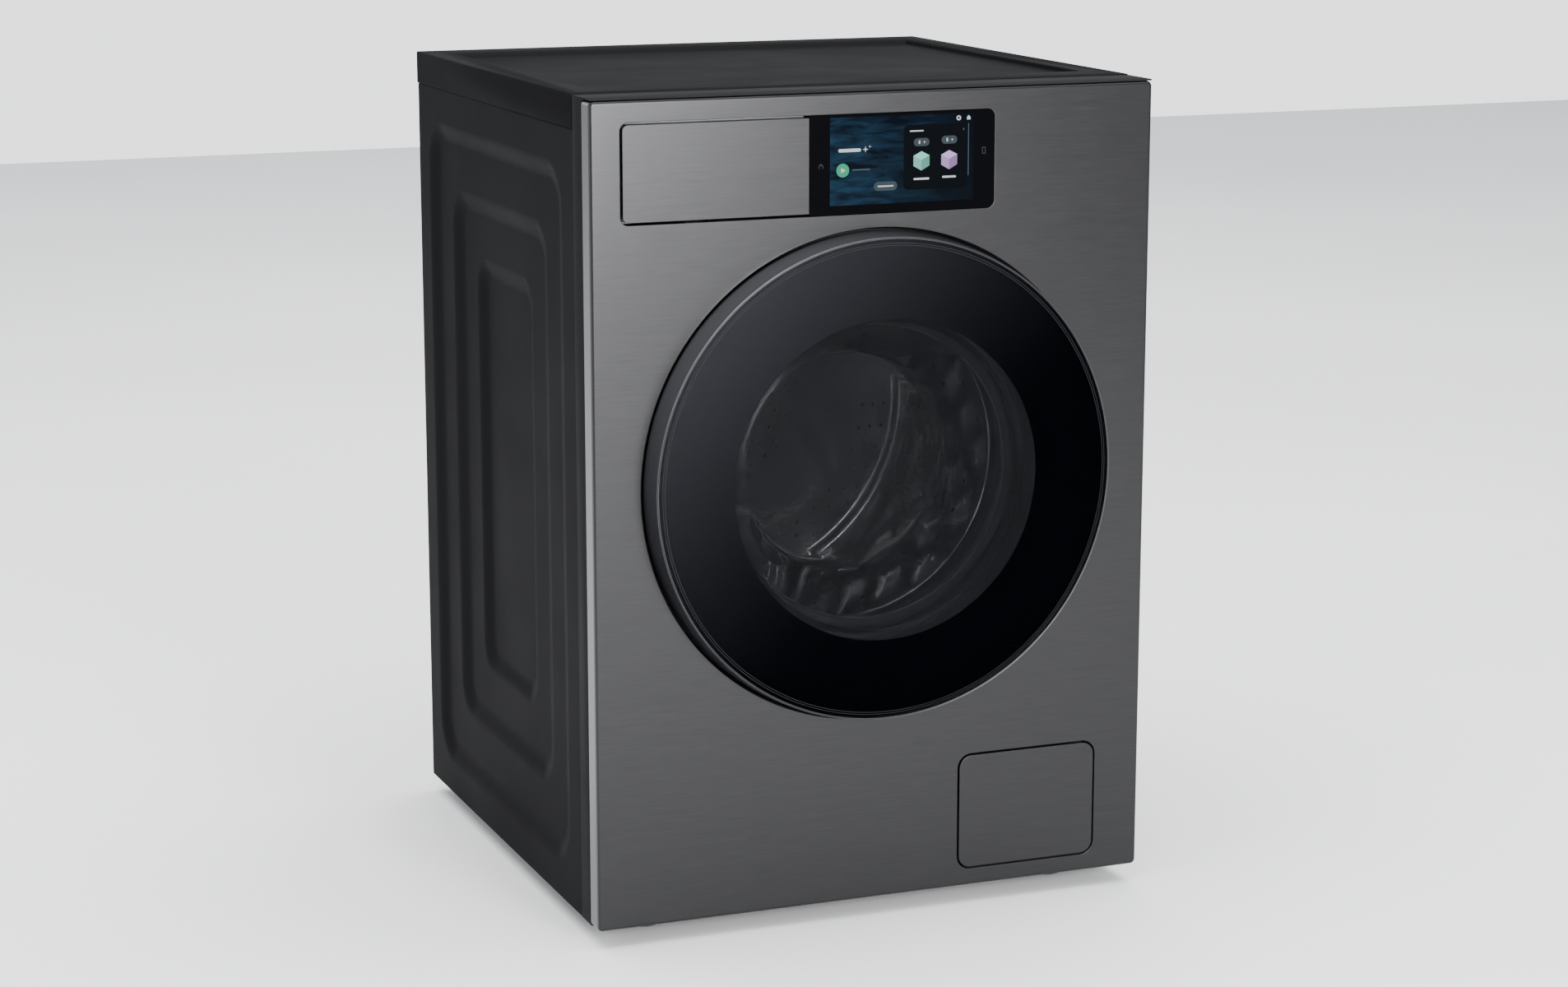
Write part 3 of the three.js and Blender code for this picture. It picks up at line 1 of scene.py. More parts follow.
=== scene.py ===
"""A free-standing front-loading washing machine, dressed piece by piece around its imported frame."""

import json
import math

import bmesh
import bpy
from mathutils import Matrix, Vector
from mathutils.geometry import tessellate_polygon

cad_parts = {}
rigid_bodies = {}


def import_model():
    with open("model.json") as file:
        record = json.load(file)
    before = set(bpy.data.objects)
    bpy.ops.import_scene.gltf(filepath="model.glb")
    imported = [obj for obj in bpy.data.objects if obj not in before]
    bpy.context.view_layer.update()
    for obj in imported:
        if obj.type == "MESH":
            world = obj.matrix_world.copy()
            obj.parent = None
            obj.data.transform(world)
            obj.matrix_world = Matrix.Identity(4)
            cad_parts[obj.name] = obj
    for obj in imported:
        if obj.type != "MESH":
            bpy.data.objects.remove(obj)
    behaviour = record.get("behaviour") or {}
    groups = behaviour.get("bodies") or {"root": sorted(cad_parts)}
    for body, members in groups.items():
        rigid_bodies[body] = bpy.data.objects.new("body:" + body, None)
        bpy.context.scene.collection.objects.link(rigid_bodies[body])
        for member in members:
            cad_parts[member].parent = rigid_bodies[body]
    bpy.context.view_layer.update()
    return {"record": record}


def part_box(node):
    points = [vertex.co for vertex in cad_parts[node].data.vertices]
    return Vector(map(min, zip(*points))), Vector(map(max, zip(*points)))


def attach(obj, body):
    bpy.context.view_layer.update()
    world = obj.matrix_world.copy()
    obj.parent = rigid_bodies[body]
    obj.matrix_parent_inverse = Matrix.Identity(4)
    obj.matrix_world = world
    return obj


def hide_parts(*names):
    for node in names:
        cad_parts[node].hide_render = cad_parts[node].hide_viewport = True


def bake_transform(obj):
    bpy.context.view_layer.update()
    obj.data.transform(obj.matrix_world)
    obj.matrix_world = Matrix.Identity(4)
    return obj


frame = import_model()

# ---- Camera, floor and light ---------------------------------------------------------------------
# The machine stands alone on a wide pale floor, lit by large soft boxes under a pale sky.
# The main box stands in front, placed so that the brushed steel is brightest at its upper left.



def placed(name, data):
    """A new object at the origin, in the scene."""
    thing = bpy.data.objects.new(name, data)
    bpy.context.collection.objects.link(thing)
    return thing


camera = placed("camera", bpy.data.cameras.new("camera"))
camera.data.lens = 78.55
camera.data.clip_end = 60
camera.location = (-1.3268, -3.3699, 1.1538)
camera.rotation_euler = (math.radians(90 - 11.936), 0, math.radians(-21.677))
bpy.context.scene.camera = camera


class Value:
    """An output socket of a material's nodes; arithmetic on it adds Math nodes."""

    def __init__(self, paint, socket):
        self.paint = paint
        self.socket = socket

    def math(self, operation, *others):
        inputs = dict(enumerate((self, *others)))
        return self.paint.node("ShaderNodeMath", inputs, operation=operation)

    def __add__(self, other):
        return self.math("ADD", other)

    def __sub__(self, other):
        return self.math("SUBTRACT", other)

    def __mul__(self, other):
        return self.math("MULTIPLY", other)

    def __rsub__(self, other):
        return self.paint.node("ShaderNodeMath", {0: other, 1: self}, operation="SUBTRACT")

    __radd__ = __add__
    __rmul__ = __mul__

    def above(self, edge):
        return self.math("GREATER_THAN", edge)

    def below(self, edge):
        return self.math("LESS_THAN", edge)


class Paint:
    """A material with its Principled shader, and one method that adds any other node."""

    def __init__(self, name, **constants):
        self.material = bpy.data.materials.new(name)
        self.material.use_nodes = True
        self.nodes = self.material.node_tree.nodes
        self.links = self.material.node_tree.links
        self.shader = self.nodes["Principled BSDF"]
        self.set(**constants)

    def set(self, **inputs):
        for name, value in inputs.items():
            label = {"ior": "IOR"}.get(name, name.replace("_", " ").title())
            self.feed(self.shader.inputs[label], value)

    def feed(self, socket, value):
        if isinstance(value, Value):
            self.links.new(value.socket, socket)
        elif isinstance(value, (tuple, list)) and socket.type == "RGBA":
            socket.default_value = (*value, 1)[:4]
        else:
            socket.default_value = value

    def node(self, kind, inputs=None, out=0, **settings):
        node = self.nodes.new(kind)
        for name, value in settings.items():
            setattr(node, name, value)
        for key, value in (inputs or {}).items():
            self.feed(node.inputs[key], value)
        return Value(self, node.outputs[out])

    def place(self, scale=(1, 1, 1)):
        """Object coordinates, scaled."""
        here = self.node("ShaderNodeTexCoord", out="Object")
        return self.node("ShaderNodeMapping", {"Vector": here, "Scale": scale})

    def axes(self):
        here = self.node("ShaderNodeTexCoord", out="Object")
        split = self.node("ShaderNodeSeparateXYZ", {0: here})
        return [Value(self, socket) for socket in split.socket.node.outputs]

    def noise(self, size, detail=3.0, stretch=(1, 1, 1)):
        """Noise from 0 to 1 whose lumps are about size metres wide."""
        scale = tuple(s / size for s in stretch)
        inputs = {"Vector": self.place(scale), "Scale": 1.0, "Detail": detail}
        return self.node("ShaderNodeTexNoise", inputs)

    def blend(self, factor, first, second):
        inputs = {"Factor": factor, 6: first, 7: second}
        return self.node("ShaderNodeMix", inputs, out=2, data_type="RGBA")

    def span(self, value, low, high, to_low, to_high):
        inputs = {0: value, 1: low, 2: high, 3: to_low, 4: to_high}
        return self.node("ShaderNodeMapRange", inputs)

    def bump(self, height, depth, strength=1.0):
        inputs = {"Height": height, "Distance": depth, "Strength": strength}
        self.set(normal=self.node("ShaderNodeBump", inputs))


def shade(colour, factor):
    return tuple(c * factor for c in colour)


def moulded(name, colour, roughness, grain=0.0006, depth=0.00003, patch=0.12, **constants):
    """Moulded plastic, rubber, paint or cast metal: fine grain, faint clouding, uneven gloss."""
    paint = Paint(name, **constants)
    cloud = paint.noise(patch, 4.0)
    paint.set(base_color=paint.blend(cloud, shade(colour, 0.93), shade(colour, 1.07)))
    paint.set(roughness=paint.span(cloud, 0.3, 0.7, roughness * 0.9, min(roughness * 1.1, 1)))
    paint.bump(paint.noise(grain, 2.0), depth)
    return paint


def grow(tree, kind, inputs=None, **settings):
    """Adds a node to a light's or a shape's tree, fills its inputs, and gives its outputs."""
    node = tree.nodes.new(kind)
    for key, value in settings.items():
        setattr(node, key, value)
    for key, value in (inputs or {}).items():
        if isinstance(value, bpy.types.NodeSocket):
            tree.links.new(value, node.inputs[key])
        else:
            node.inputs[key].default_value = value
    return node.outputs


def add_light(name, place, target, size, power, soft=False):
    """A rectangular soft box; a soft one fades towards its edges."""
    data = bpy.data.lights.new(name, "AREA")
    data.shape = "RECTANGLE"
    data.size, data.size_y = size
    data.energy = power
    if soft:
        data.use_nodes = True
        tree = data.node_tree
        spot = grow(tree, "ShaderNodeNewGeometry")["Parametric"]
        split = grow(tree, "ShaderNodeSeparateXYZ", {0: spot})
        fades = {}
        for axis in (0, 1):
            middle = grow(tree, "ShaderNodeMath", {0: split[axis], 1: 0.5}, operation="PINGPONG")
            fades[axis] = grow(tree, "ShaderNodeMapRange", {"Value": middle[0], "From Max": 0.42},
                               interpolation_type="SMOOTHSTEP")["Result"]
        both = grow(tree, "ShaderNodeMath", fades, operation="MULTIPLY")
        tree.links.new(both[0], tree.nodes["Emission"].inputs["Strength"])
    lamp = placed(name, data)
    lamp.location = place
    aim = Vector(target) - Vector(place)
    lamp.rotation_euler = aim.to_track_quat("-Z", "Y").to_euler()
    lamp.visible_camera = False


add_light("front_box", (0.33, -3.6, 1.1), (0, -0.3, 0.6), (1.5, 1.9), 600, soft=True)
add_light("left_box", (-2.7, -1.6, 1.5), (0, 0, 0.5), (1.2, 1.8), 60, soft=True)
add_light("top_box", (0.0, 0.6, 5.0), (0, 0.6, 0), (7.0, 7.0), 700)
add_light("back_box", (-1.6, 3.0, 1.6), (0, 0, 0.5), (1.6, 1.6), 24, soft=True)

world = bpy.data.worlds.new("studio")
bpy.context.scene.world = world
world.use_nodes = True
sky = world.node_tree.nodes["Background"]
sky.inputs["Color"].default_value = (0.86, 0.89, 0.94, 1)
sky.inputs["Strength"].default_value = 1.1
seen = {"Color": (0.95, 0.96, 0.97, 1), "Strength": 2.3}
either = grow(world.node_tree, "ShaderNodeMixShader", {
    0: grow(world.node_tree, "ShaderNodeLightPath")["Is Camera Ray"],
    1: sky.outputs[0],
    2: grow(world.node_tree, "ShaderNodeBackground", seen)[0],
})
world.node_tree.links.new(either[0], world.node_tree.nodes["World Output"].inputs["Surface"])

floor_paint = moulded("floor", (0.84, 0.84, 0.84), 0.7, grain=0.004, depth=0.00005, patch=1.5)
floor_mesh = bpy.data.meshes.new("floor")
reach = 7.0
floor_mesh.from_pydata(
    [(-reach, -2 * reach, 0), (reach, -2 * reach, 0), (reach, reach, 0), (-reach, reach, 0)],
    [], [(0, 1, 2, 3)],
)
floor_mesh.materials.append(floor_paint.material)
floor = placed("floor", floor_mesh)

# ---- Front panel ---------------------------------------------------------------------------------
# One sheet of stainless steel, brushed from side to side and folded back along its four edges.
# Its openings for the door, the control strip and the service flap are rolled over at the edge.

MM = 0.001
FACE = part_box("front_panel")[0][1]  # the panel's face, the plane that depths are measured from
AXIS = (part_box("door_rim")[0][2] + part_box("door_rim")[1][2]) / 2  # height of the drum's axis
SHEET = 1.2 * MM


def depth(millimetres):
    return FACE + millimetres * MM


class Skin:
    """A mesh made of rings of points that are bridged, and flat areas between rings."""

    def __init__(self):
        self.points = []
        self.faces = []
        self.sharp = set()

    def ring(self, points):
        start = len(self.points)
        self.points += [tuple(point) for point in points]
        return list(range(start, len(self.points)))

    def bridge(self, first, second):
        count = len(first)
        for i in range(count):
            j = (i + 1) % count
            self.faces.append((first[i], first[j], second[j], second[i]))

    def bridges(self, rings):
        for first, second in zip(rings, rings[1:]):
            self.bridge(first, second)

    def fill(self, *rings):
        """Closes the flat area between an outer ring and the rings inside it."""
        corners = [index for ring in rings for index in ring]
        loops = [[Vector(self.points[index]) for index in ring] for ring in rings]
        for triangle in tessellate_polygon(loops):
            self.faces.append(tuple(corners[k] for k in triangle))
        for ring in rings:
            self.sharp |= {frozenset(pair) for pair in zip(ring, ring[1:] + ring[:1])}

    def cap(self, *rings):
        """Closes each ring with a face of its own."""
        self.faces += [tuple(ring) for ring in rings]

    def mesh(self, name):
        mesh = bpy.data.meshes.new(name)
        mesh.from_pydata(self.points, [], self.faces)
        work = bmesh.new()
        work.from_mesh(mesh)
        for edge in work.edges:
            if frozenset(vertex.index for vertex in edge.verts) in self.sharp:
                edge.smooth = False
        bmesh.ops.remove_doubles(work, verts=work.verts, dist=1e-7)
        bmesh.ops.recalc_face_normals(work, faces=work.faces)
        work.to_mesh(mesh)
        work.free()
        return mesh


def arc(centre, radius, start, end, steps):
    """Points on an arc, angles in degrees, both ends included."""
    angles = [math.radians(start + (end - start) * i / steps) for i in range(steps + 1)]
    return [(centre[0] + radius * math.cos(a), centre[1] + radius * math.sin(a)) for a in angles]


def round_rect(low, high, left, right=None, steps=8):
    """Outline of a rectangle with rounded corners, as points with their outward directions."""
    right = left if right is None else right
    (x0, z0), (x1, z1) = low, high
    corners = [
        (x1 - right, z0 + right, right, -90),
        (x1 - right, z1 - right, right, 0),
        (x0 + left, z1 - left, left, 90),
        (x0 + left, z0 + left, left, 180),
    ]
    outline = []
    for x, z, radius, start in corners:
        points = arc((x, z), max(radius, 1e-6), start, start + 90, steps)
        ways = arc((0, 0), 1, start, start + 90, steps)
        outline += list(zip(points, ways))
    return outline


def round_hole(radius, x, z, count):
    ways = arc((0, 0), 1, 0, 360, count)[:-1]
    return [((x + radius * a, z + radius * b), (a, b)) for a, b in ways]


def upright(outline, out, y):
    """An outline's points, moved outwards and stood up at a depth."""
    return [(x + out * a, y, z + out * b) for (x, z), (a, b) in outline]


def worked_out(thing):
    """A mesh of the object as its modifiers leave it."""
    graph = bpy.context.evaluated_depsgraph_get()
    return bpy.data.meshes.new_from_object(thing.evaluated_get(graph))


def add_piece(name, mesh, paint, body, replaces=(), smooth=34):
    mesh.materials.clear()
    mesh.materials.append(paint.material)
    mesh.shade_smooth()
    piece = placed(name, mesh)
    if not mesh.has_custom_normals:
        mesh.set_sharp_from_angle(angle=math.radians(smooth))
        piece.modifiers.new("weighted", "WEIGHTED_NORMAL").keep_sharp = True
        piece.data = worked_out(piece)
        piece.modifiers.clear()
    if body:
        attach(piece, body)
    if replaces:
        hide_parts(*replaces)
    return piece


def sheet_panel(outline, holes, fold, rolled):
    """A sheet with its outer edge folded along fold, and its holes' edges rolled along rolled."""
    skin = Skin()
    outer = [skin.ring(upright(outline, out, FACE + y)) for out, y in fold]
    skin.bridges(outer)
    fronts, backs = [], []
    for hole in holes:
        rings = [skin.ring(upright(hole, out, FACE + y)) for out, y in rolled]
        skin.bridges(rings)
        fronts.append(rings[0])
        backs.append(rings[-1])
    skin.fill(outer[0], *fronts)
    skin.fill(outer[-1], *backs)
    return skin


def brushed(name, colour, roughness, edges=None):
    """Sheet brushed from side to side: scratches in colour, gloss and relief; given edges, a painted
    highlight along its outer edges.
    """
    paint = Paint(name, metallic=1.0)
    fine = paint.noise(0.0007, 2.0, (0.02, 1, 1))
    long = paint.noise(0.003, 3.0, (0.003, 1, 1))
    lines = fine * 0.8 + long * 0.2
    scratched = paint.span(lines, 0.3, 0.7, 0.0, 1.0)
    tone = paint.blend(scratched, shade(colour, 0.9), shade(colour, 1.1))
    if edges:
        # Painted highlight: a thin band along the sheet's outer edges gets a base colour 2.5 times
        # brighter.
        half, low, high = edges
        x, _, z = paint.axes()
        edge_highlight_mask = x.math("ABSOLUTE").above(half) + z.above(high) + z.below(low)
        tone = paint.blend(edge_highlight_mask.math("MINIMUM", 1.0), tone, shade(colour, 2.5))
    paint.set(base_color=tone)
    paint.set(roughness=paint.span(lines, 0.3, 0.7, roughness * 0.94, roughness * 1.06))
    paint.bump(fine, 0.000006, 0.5)
    return paint


(panel_x0, _, panel_z0), (panel_x1, panel_back, panel_z1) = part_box("front_panel")
EDGE = 3.5 * MM
STEEL = (0.033, 0.033, 0.034)
steel = brushed("brushed_steel", STEEL, 0.30)
# The front sheet's steel has a painted highlight 0.9 mm wide along its side, top and bottom edges.
panel_steel = brushed(
    "panel_steel", STEEL, 0.30, (panel_x1 - 0.9 * MM, panel_z0 + 0.9 * MM, panel_z1 - 0.9 * MM)
)
fold = [(0, 0)]
fold += [(a, EDGE + b) for a, b in arc((0, 0), EDGE, -90, 0, 8)[1:]]
fold += [(EDGE, panel_back - FACE), (EDGE - SHEET, panel_back - FACE)]
fold += [(a, EDGE + b) for a, b in arc((0, 0), EDGE - SHEET, 0, -90, 6)]
ROLL = 0.7 * MM
rolled = [(ROLL - a, ROLL + b) for a, b in arc((0, 0), ROLL, -90, 0, 4)] + [(0, SHEET)]
panel_outline = round_rect(
    (panel_x0 + EDGE, panel_z0 + EDGE), (panel_x1 - EDGE, panel_z1 - EDGE), 2 * MM
)
DOOR_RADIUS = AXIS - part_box("door_rim")[0][2]
door_opening = round_hole(DOOR_RADIUS + 3.2 * MM, 0, AXIS, 256)
drawer_low, drawer_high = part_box("drawer_front")
display_low, display_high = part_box("display_glass")
STRIP_GAP = 2.2 * MM
strip_opening = round_rect(
    (drawer_low[0] - STRIP_GAP, drawer_low[2] - STRIP_GAP),
    (display_high[0] + 0.5 * MM, drawer_high[2] + STRIP_GAP),
    8 * MM,
)
flap_low, flap_high = (0.094, 0.040), (0.247, 0.160)
flap_opening = round_rect(
    (flap_low[0] - 2 * MM, flap_low[1] - 2 * MM),
    (flap_high[0] + 2 * MM, flap_high[1] + 2 * MM),
    15 * MM,
)
panel = sheet_panel(panel_outline, [door_opening, strip_opening, flap_opening], fold, rolled)
add_piece("front_sheet", panel.mesh("front_sheet"), panel_steel, "root", ["front_panel"])

# ---- Drawer front and service flap ---------------------------------------------------------------
# Both are cut from the same brushed sheet as the front panel and folded over a plastic core.
# The drawer's left corners are rounded, and its right edge stands against the display's glass.


def cushion_plate(name, outline, back, edge, y=FACE):
    """A solid plate with a rounded front edge."""
    skin = Skin()
    profile = [(a - edge, edge + b) for a, b in arc((0, 0), edge, -90, 0, 5)] + [(0, back)]
    rings = [skin.ring(upright(outline, out, y + along)) for out, along in profile]
    skin.bridges(rings)
    skin.fill(rings[0])
    skin.fill(rings[-1])
    return skin.mesh(name)


drawer_outline = round_rect(
    (drawer_low[0], drawer_low[2]), (drawer_high[0], drawer_high[2]), 6 * MM, 0.6 * MM
)
drawer_mesh = cushion_plate("drawer_face", drawer_outline, 12 * MM, 0.6 * MM)
add_piece("drawer_face", drawer_mesh, steel, "drawer", ["drawer_front"])

flap_outline = round_rect(flap_low, flap_high, 13 * MM)
flap_mesh = cushion_plate("flap_face", flap_outline, 2.4 * MM, 0.7 * MM, FACE - 0.2 * MM)
add_piece("flap_face", flap_mesh, steel, "flap", ())

# ---- Side panels ---------------------------------------------------------------------------------
# Painted sheet steel, pressed inwards in three nested steps that stiffen it.
# Each step's slope rises softly out of one flat and into the next.

side_paint = moulded("side_paint", (0.0085, 0.0085, 0.009), 0.4, grain=0.0011, ior=1.035)
PRESSING = [  # inset along the depth and up the height, corner radius, sunk, all in mm
    (31, 31, 55, 0),
    (39, 31, 22, 6),
    (29, 36, 45, 6),
    (40, 32, 18, 12),
    (31, 35, 36, 12),
    (35, 31, 14, 18),
]
FLAT = 0.14  # share of each slope's width that stays flat at either end


def ease(t):
    return t * t * (3 - 2 * t)


def pressed_side(name, face_x, low, high, way):
    """A pressed panel in the Y-Z plane at face_x, sunk towards the way it faces away from."""
    skin = Skin()
    y0, z0 = low
    y1, z1 = high
    corner = 1.0 * MM
    rings = []

    def add_ring(sunk):
        outline = round_rect((y0, z0), (y1, z1), corner, steps=10)
        rings.append([(face_x - way * sunk, y, z) for (y, z), _ in outline])

    add_ring(0)
    sunk_before = 0.0
    for in_y, in_z, next_corner, sunk in PRESSING:
        steps = 18 if sunk * MM != sunk_before else 2
        start = (y0, y1, z0, z1, corner)
        for step in range(1, steps + 1):
            t = step / steps
            slope = ease(min(max((t - FLAT) / (1 - 2 * FLAT), 0), 1))
            y0, y1 = start[0] + in_y * MM * t, start[1] - in_y * MM * t
            z0, z1 = start[2] + in_z * MM * t, start[3] - in_z * MM * t
            corner = start[4] + (next_corner * MM - start[4]) * t
            add_ring(sunk_before + (sunk * MM - sunk_before) * slope)
        sunk_before = sunk * MM
    front = [skin.ring(points) for points in rings]
    behind = [skin.ring([(x - way * SHEET, y, z) for x, y, z in points]) for points in rings]
    skin.bridges(front)
    skin.bridges(behind)
    skin.bridge(front[0], behind[0])
    skin.cap(front[-1], behind[-1])
    edges = zip(front[0], front[0][1:] + front[0][:1])
    skin.sharp |= {frozenset(pair) for pair in edges}
    return skin.mesh(name)


for side, way in (("left", -1), ("right", 1)):
    node = f"side_panel_{side}"
    (x0, y0, z0), (x1, y1, z1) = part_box(node)
    mesh = pressed_side(f"side_sheet_{side}", x0 if way < 0 else x1, (y0, z0), (y1, z1), way)
    add_piece(f"side_sheet_{side}", mesh, side_paint, "root", [node], smooth=60)

# ---- Frame, top cover and other square-built pieces ----------------------------------------------
# The plastic frame behind the steel and the dished cover on top, both moulded in matt black.
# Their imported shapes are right, so each is copied and its edges are eased.

frame_paint = moulded("black_frame", (0.014, 0.014, 0.0145), 0.45, grain=0.0008, ior=1.035)
cover_paint = moulded("cover_paint", (0.0085, 0.0085, 0.009), 0.5, grain=0.0009, ior=1.03)


def eased(node, width, paint, body, steps=3):
    """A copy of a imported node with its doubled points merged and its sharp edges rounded."""
    mesh = bpy.data.objects[node].data.copy()
    mesh.name = f"{node}_eased"
    work = bmesh.new()
    work.from_mesh(mesh)
    bmesh.ops.remove_doubles(work, verts=work.verts, dist=1e-6)
    bmesh.ops.dissolve_limit(
        work, angle_limit=math.radians(1.5), verts=work.verts, edges=work.edges
    )
    work.to_mesh(mesh)
    work.free()
    source = placed("source", mesh)
    bevel = source.modifiers.new("bevel", "BEVEL")
    bevel.width = width
    bevel.segments = steps
    bevel.limit_method = "ANGLE"
    bevel.angle_limit = math.radians(30)
    bevel.harden_normals = True
    result = worked_out(source)
    bpy.data.objects.remove(source)
    return add_piece(f"{node}_shell", result, paint, body, [node])


eased("front_frame", 0.8 * MM, frame_paint, "root")
eased("top_cover", 1.6 * MM, cover_paint, "root")

# ---- Display -------------------------------------------------------------------------------------
# A black glass strip beside the drawer, with a touch screen lit from behind.
# The picture on it is a plain one: rippled water, a card with two dosing cubes, buttons and icons.

glass_black = moulded("strip_glass", (0.0015, 0.0015, 0.002), 0.15, grain=0.05, ior=1.08)
strip_outline = round_rect(
    (display_low[0], display_low[2]), (display_high[0], display_high[2]), 0.6 * MM, 7.6 * MM
)
strip_mesh = cushion_plate("display_strip", strip_outline, 3 * MM, 0.5 * MM)
add_piece("display_strip", strip_mesh, glass_black, "root", ["display_glass"])

screen_low, screen_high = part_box("display_screen")
SCREEN_X, SCREEN_TOP = screen_low[0], screen_high[2]
SCREEN_WIDE, SCREEN_TALL = screen_high[0] - SCREEN_X, SCREEN_TOP - screen_low[2]


def glow(name, colour, strength=1.0):
    paint = Paint(name, base_color=(0.001, 0.001, 0.001), roughness=0.2, ior=1.06,
                  emission_strength=strength)
    light = paint.noise(0.03, 2.0)
    low, high = shade(colour, 0.94), shade(colour, 1.06)
    paint.set(emission_color=paint.blend(light, low, high))
    return paint


def on_screen(u, v):
    """A place on the screen from its share of the width and of the height down from the top."""
    return (SCREEN_X + u * SCREEN_WIDE, SCREEN_TOP - v * SCREEN_TALL)


def flat(name, outlines, paint, lift):
    """Printed shapes that lie lift mm in front of the strip's glass."""
    skin = Skin()
    for outline in outlines:
        front = skin.ring([(x, depth(-lift), z) for x, z in outline])
        back = skin.ring([(x, depth(-lift + 0.03), z) for x, z in outline])
        skin.bridge(front, back)
        skin.fill(front)
        skin.fill(back)
    mesh = skin.mesh(name)
    return add_piece(name, mesh, paint, "root", ())


def pill(u, v, wide, tall, corner=None, steps=6):
    """Outline of a rounded bar centred at a place on the screen, sizes in mm."""
    x, z = on_screen(u, v)
    half_x, half_z = wide / 2 * MM, tall / 2 * MM
    radius = min(half_x, half_z) * 0.999 if corner is None else corner * MM
    outline = round_rect((x - half_x, z - half_z), (x + half_x, z + half_z), radius, steps=steps)
    return [point for point, _ in outline]


def shape(u, v, size, points):
    """A polygon of points in units of size mm, centred at a place on the screen."""
    x, z = on_screen(u, v)
    return [(x + a * size * MM, z + b * size * MM) for a, b in points]


def arc_band(u, v, inner, outer, start, end, steps=20):
    centre = on_screen(u, v)
    return arc(centre, outer * MM, start, end, steps) + arc(centre, inner * MM, end, start, steps)


water = Paint("screen_water", base_color=(0.001, 0.001, 0.001), roughness=0.2, ior=1.06,
              emission_strength=1.0)
wave = water.node("ShaderNodeTexNoise", {"Vector": water.place((26, 1, 120)), "Scale": 1.0,
                                        "Detail": 4.0, "Roughness": 0.55, "Distortion": 0.6})
water_x, _, water_z = water.axes()
towards_top = water.span(water_z, SCREEN_TOP - SCREEN_TALL, SCREEN_TOP, 0.0, 1.0)
towards_right = water.span(water_x, SCREEN_X, SCREEN_X + SCREEN_WIDE, 0.0, 1.0)
ripple = water.span(wave, 0.35, 0.7, 0.0, 1.0)
deep = water.blend(towards_top, (0.004, 0.008, 0.014), (0.0006, 0.004, 0.013))
crest = water.blend(towards_right, (0.018, 0.062, 0.118), (0.0008, 0.003, 0.007))
water.set(emission_color=water.blend(ripple, deep, crest))
flat("screen_picture", [pill(0.5, 0.5, SCREEN_WIDE / MM, SCREEN_TALL / MM, 1.2)], water, 0.04)

card_glow = glow("screen_card_grey", (0.003, 0.005, 0.008))
flat("screen_card", [pill(0.735, 0.485, 69, 64, 5)], card_glow, 0.08)
pale = glow("screen_white", (0.85, 0.9, 0.95))
dim = glow("screen_pale_blue", (0.07, 0.095, 0.115))
flat("screen_pills", [pill(0.385, 0.80, 25, 9), pill(0.635, 0.315, 17, 8), pill(0.83, 0.30, 17, 8)],
     dim, 0.12)
sparkle = [(0, 1), (0.2, 0.2), (1, 0), (0.2, -0.2), (0, -1), (-0.2, -0.2), (-1, 0), (-0.2, 0.2)]
white_shapes = [
    pill(0.135, 0.375, 24, 3.2),
    shape(0.245, 0.37, 3.2, sparkle),
    shape(0.275, 0.34, 1.5, sparkle),
    pill(0.385, 0.80, 17, 1.4),
    pill(0.635, 0.735, 17, 2.0),
    pill(0.83, 0.725, 15, 2.0),
    pill(0.62, 0.315, 1.6, 3.6),
    pill(0.815, 0.30, 1.6, 3.6),
    shape(0.655, 0.315, 1.6, sparkle),
    shape(0.85, 0.30, 1.6, sparkle),
    pill(0.60, 0.185, 15, 1.3),
    arc_band(0.895, 0.055, 1.2, 2.3, 0, 359),
    shape(0.965, 0.055, 2.4, [(-0.8, -0.8), (0.8, -0.8), (0.8, 0.2), (0, 1), (-0.8, 0.2)]),
]
white_shapes += [
    shape(0.895, 0.055, 1.0, [(2.2 * math.cos(a) + 0.6 * math.cos(a + b),
                              2.2 * math.sin(a) + 0.6 * math.sin(a + b))
                             for b in (0.8, -0.8, -2.3, 2.3)])
    for a in [math.radians(45 * k) for k in range(8)]
]
flat("screen_marks", white_shapes, pale, 0.16)
soft_marks = [pill(0.215, 0.60, 19, 1.3), pill(0.965, 0.42, 0.9, 52), pill(0.93, 0.185, 1.2, 2.4)]
flat("screen_soft_marks", soft_marks, glow("screen_soft_grey", (0.09, 0.13, 0.16)), 0.16)
flat("screen_play_disc", [arc(on_screen(0.088, 0.60), 6.8 * MM, 0, 348, 29)],
     glow("screen_green", (0.06, 0.50, 0.27)), 0.10)
arrow = [(-0.7, -0.9), (1, 0), (-0.7, 0.9)]
flat("screen_play_arrow", [shape(0.090, 0.60, 2.9, arrow)], pale, 0.14)
CUBE = {
    "top": [(0, 0.1), (0.9, 0.55), (0, 1), (-0.9, 0.55)],
    "left": [(-0.9, 0.55), (-0.9, -0.5), (0, -1), (0, 0.1)],
    "right": [(0, 0.1), (0, -1), (0.9, -0.5), (0.9, 0.55)],
}
for cube, u, colour in (("mint", 0.635, (0.30, 0.85, 0.70)), ("violet", 0.83, (0.70, 0.45, 0.90))):
    for face, tone in (("top", 1.25), ("left", 0.85), ("right", 0.55)):
        paint = glow(f"screen_{cube}_{face}", shade(colour, tone))
        flat(f"screen_cube_{cube}_{face}", [shape(u, 0.53, 9.6, CUBE[face])], paint, 0.12)
border_marks = [
    arc_band(-0.062, 0.55, 2.0, 2.5, -50, 230),
    pill(-0.062, 0.53, 0.5, 2.6),
    pill(1.065, 0.44, 0.5, 6.5),
    pill(1.085, 0.44, 0.5, 6.5),
    pill(1.075, 0.475, 3.2, 0.5),
    pill(1.075, 0.405, 3.2, 0.5),
]
flat("border_icons", border_marks, glow("border_grey", (0.12, 0.12, 0.13)), 0.04)

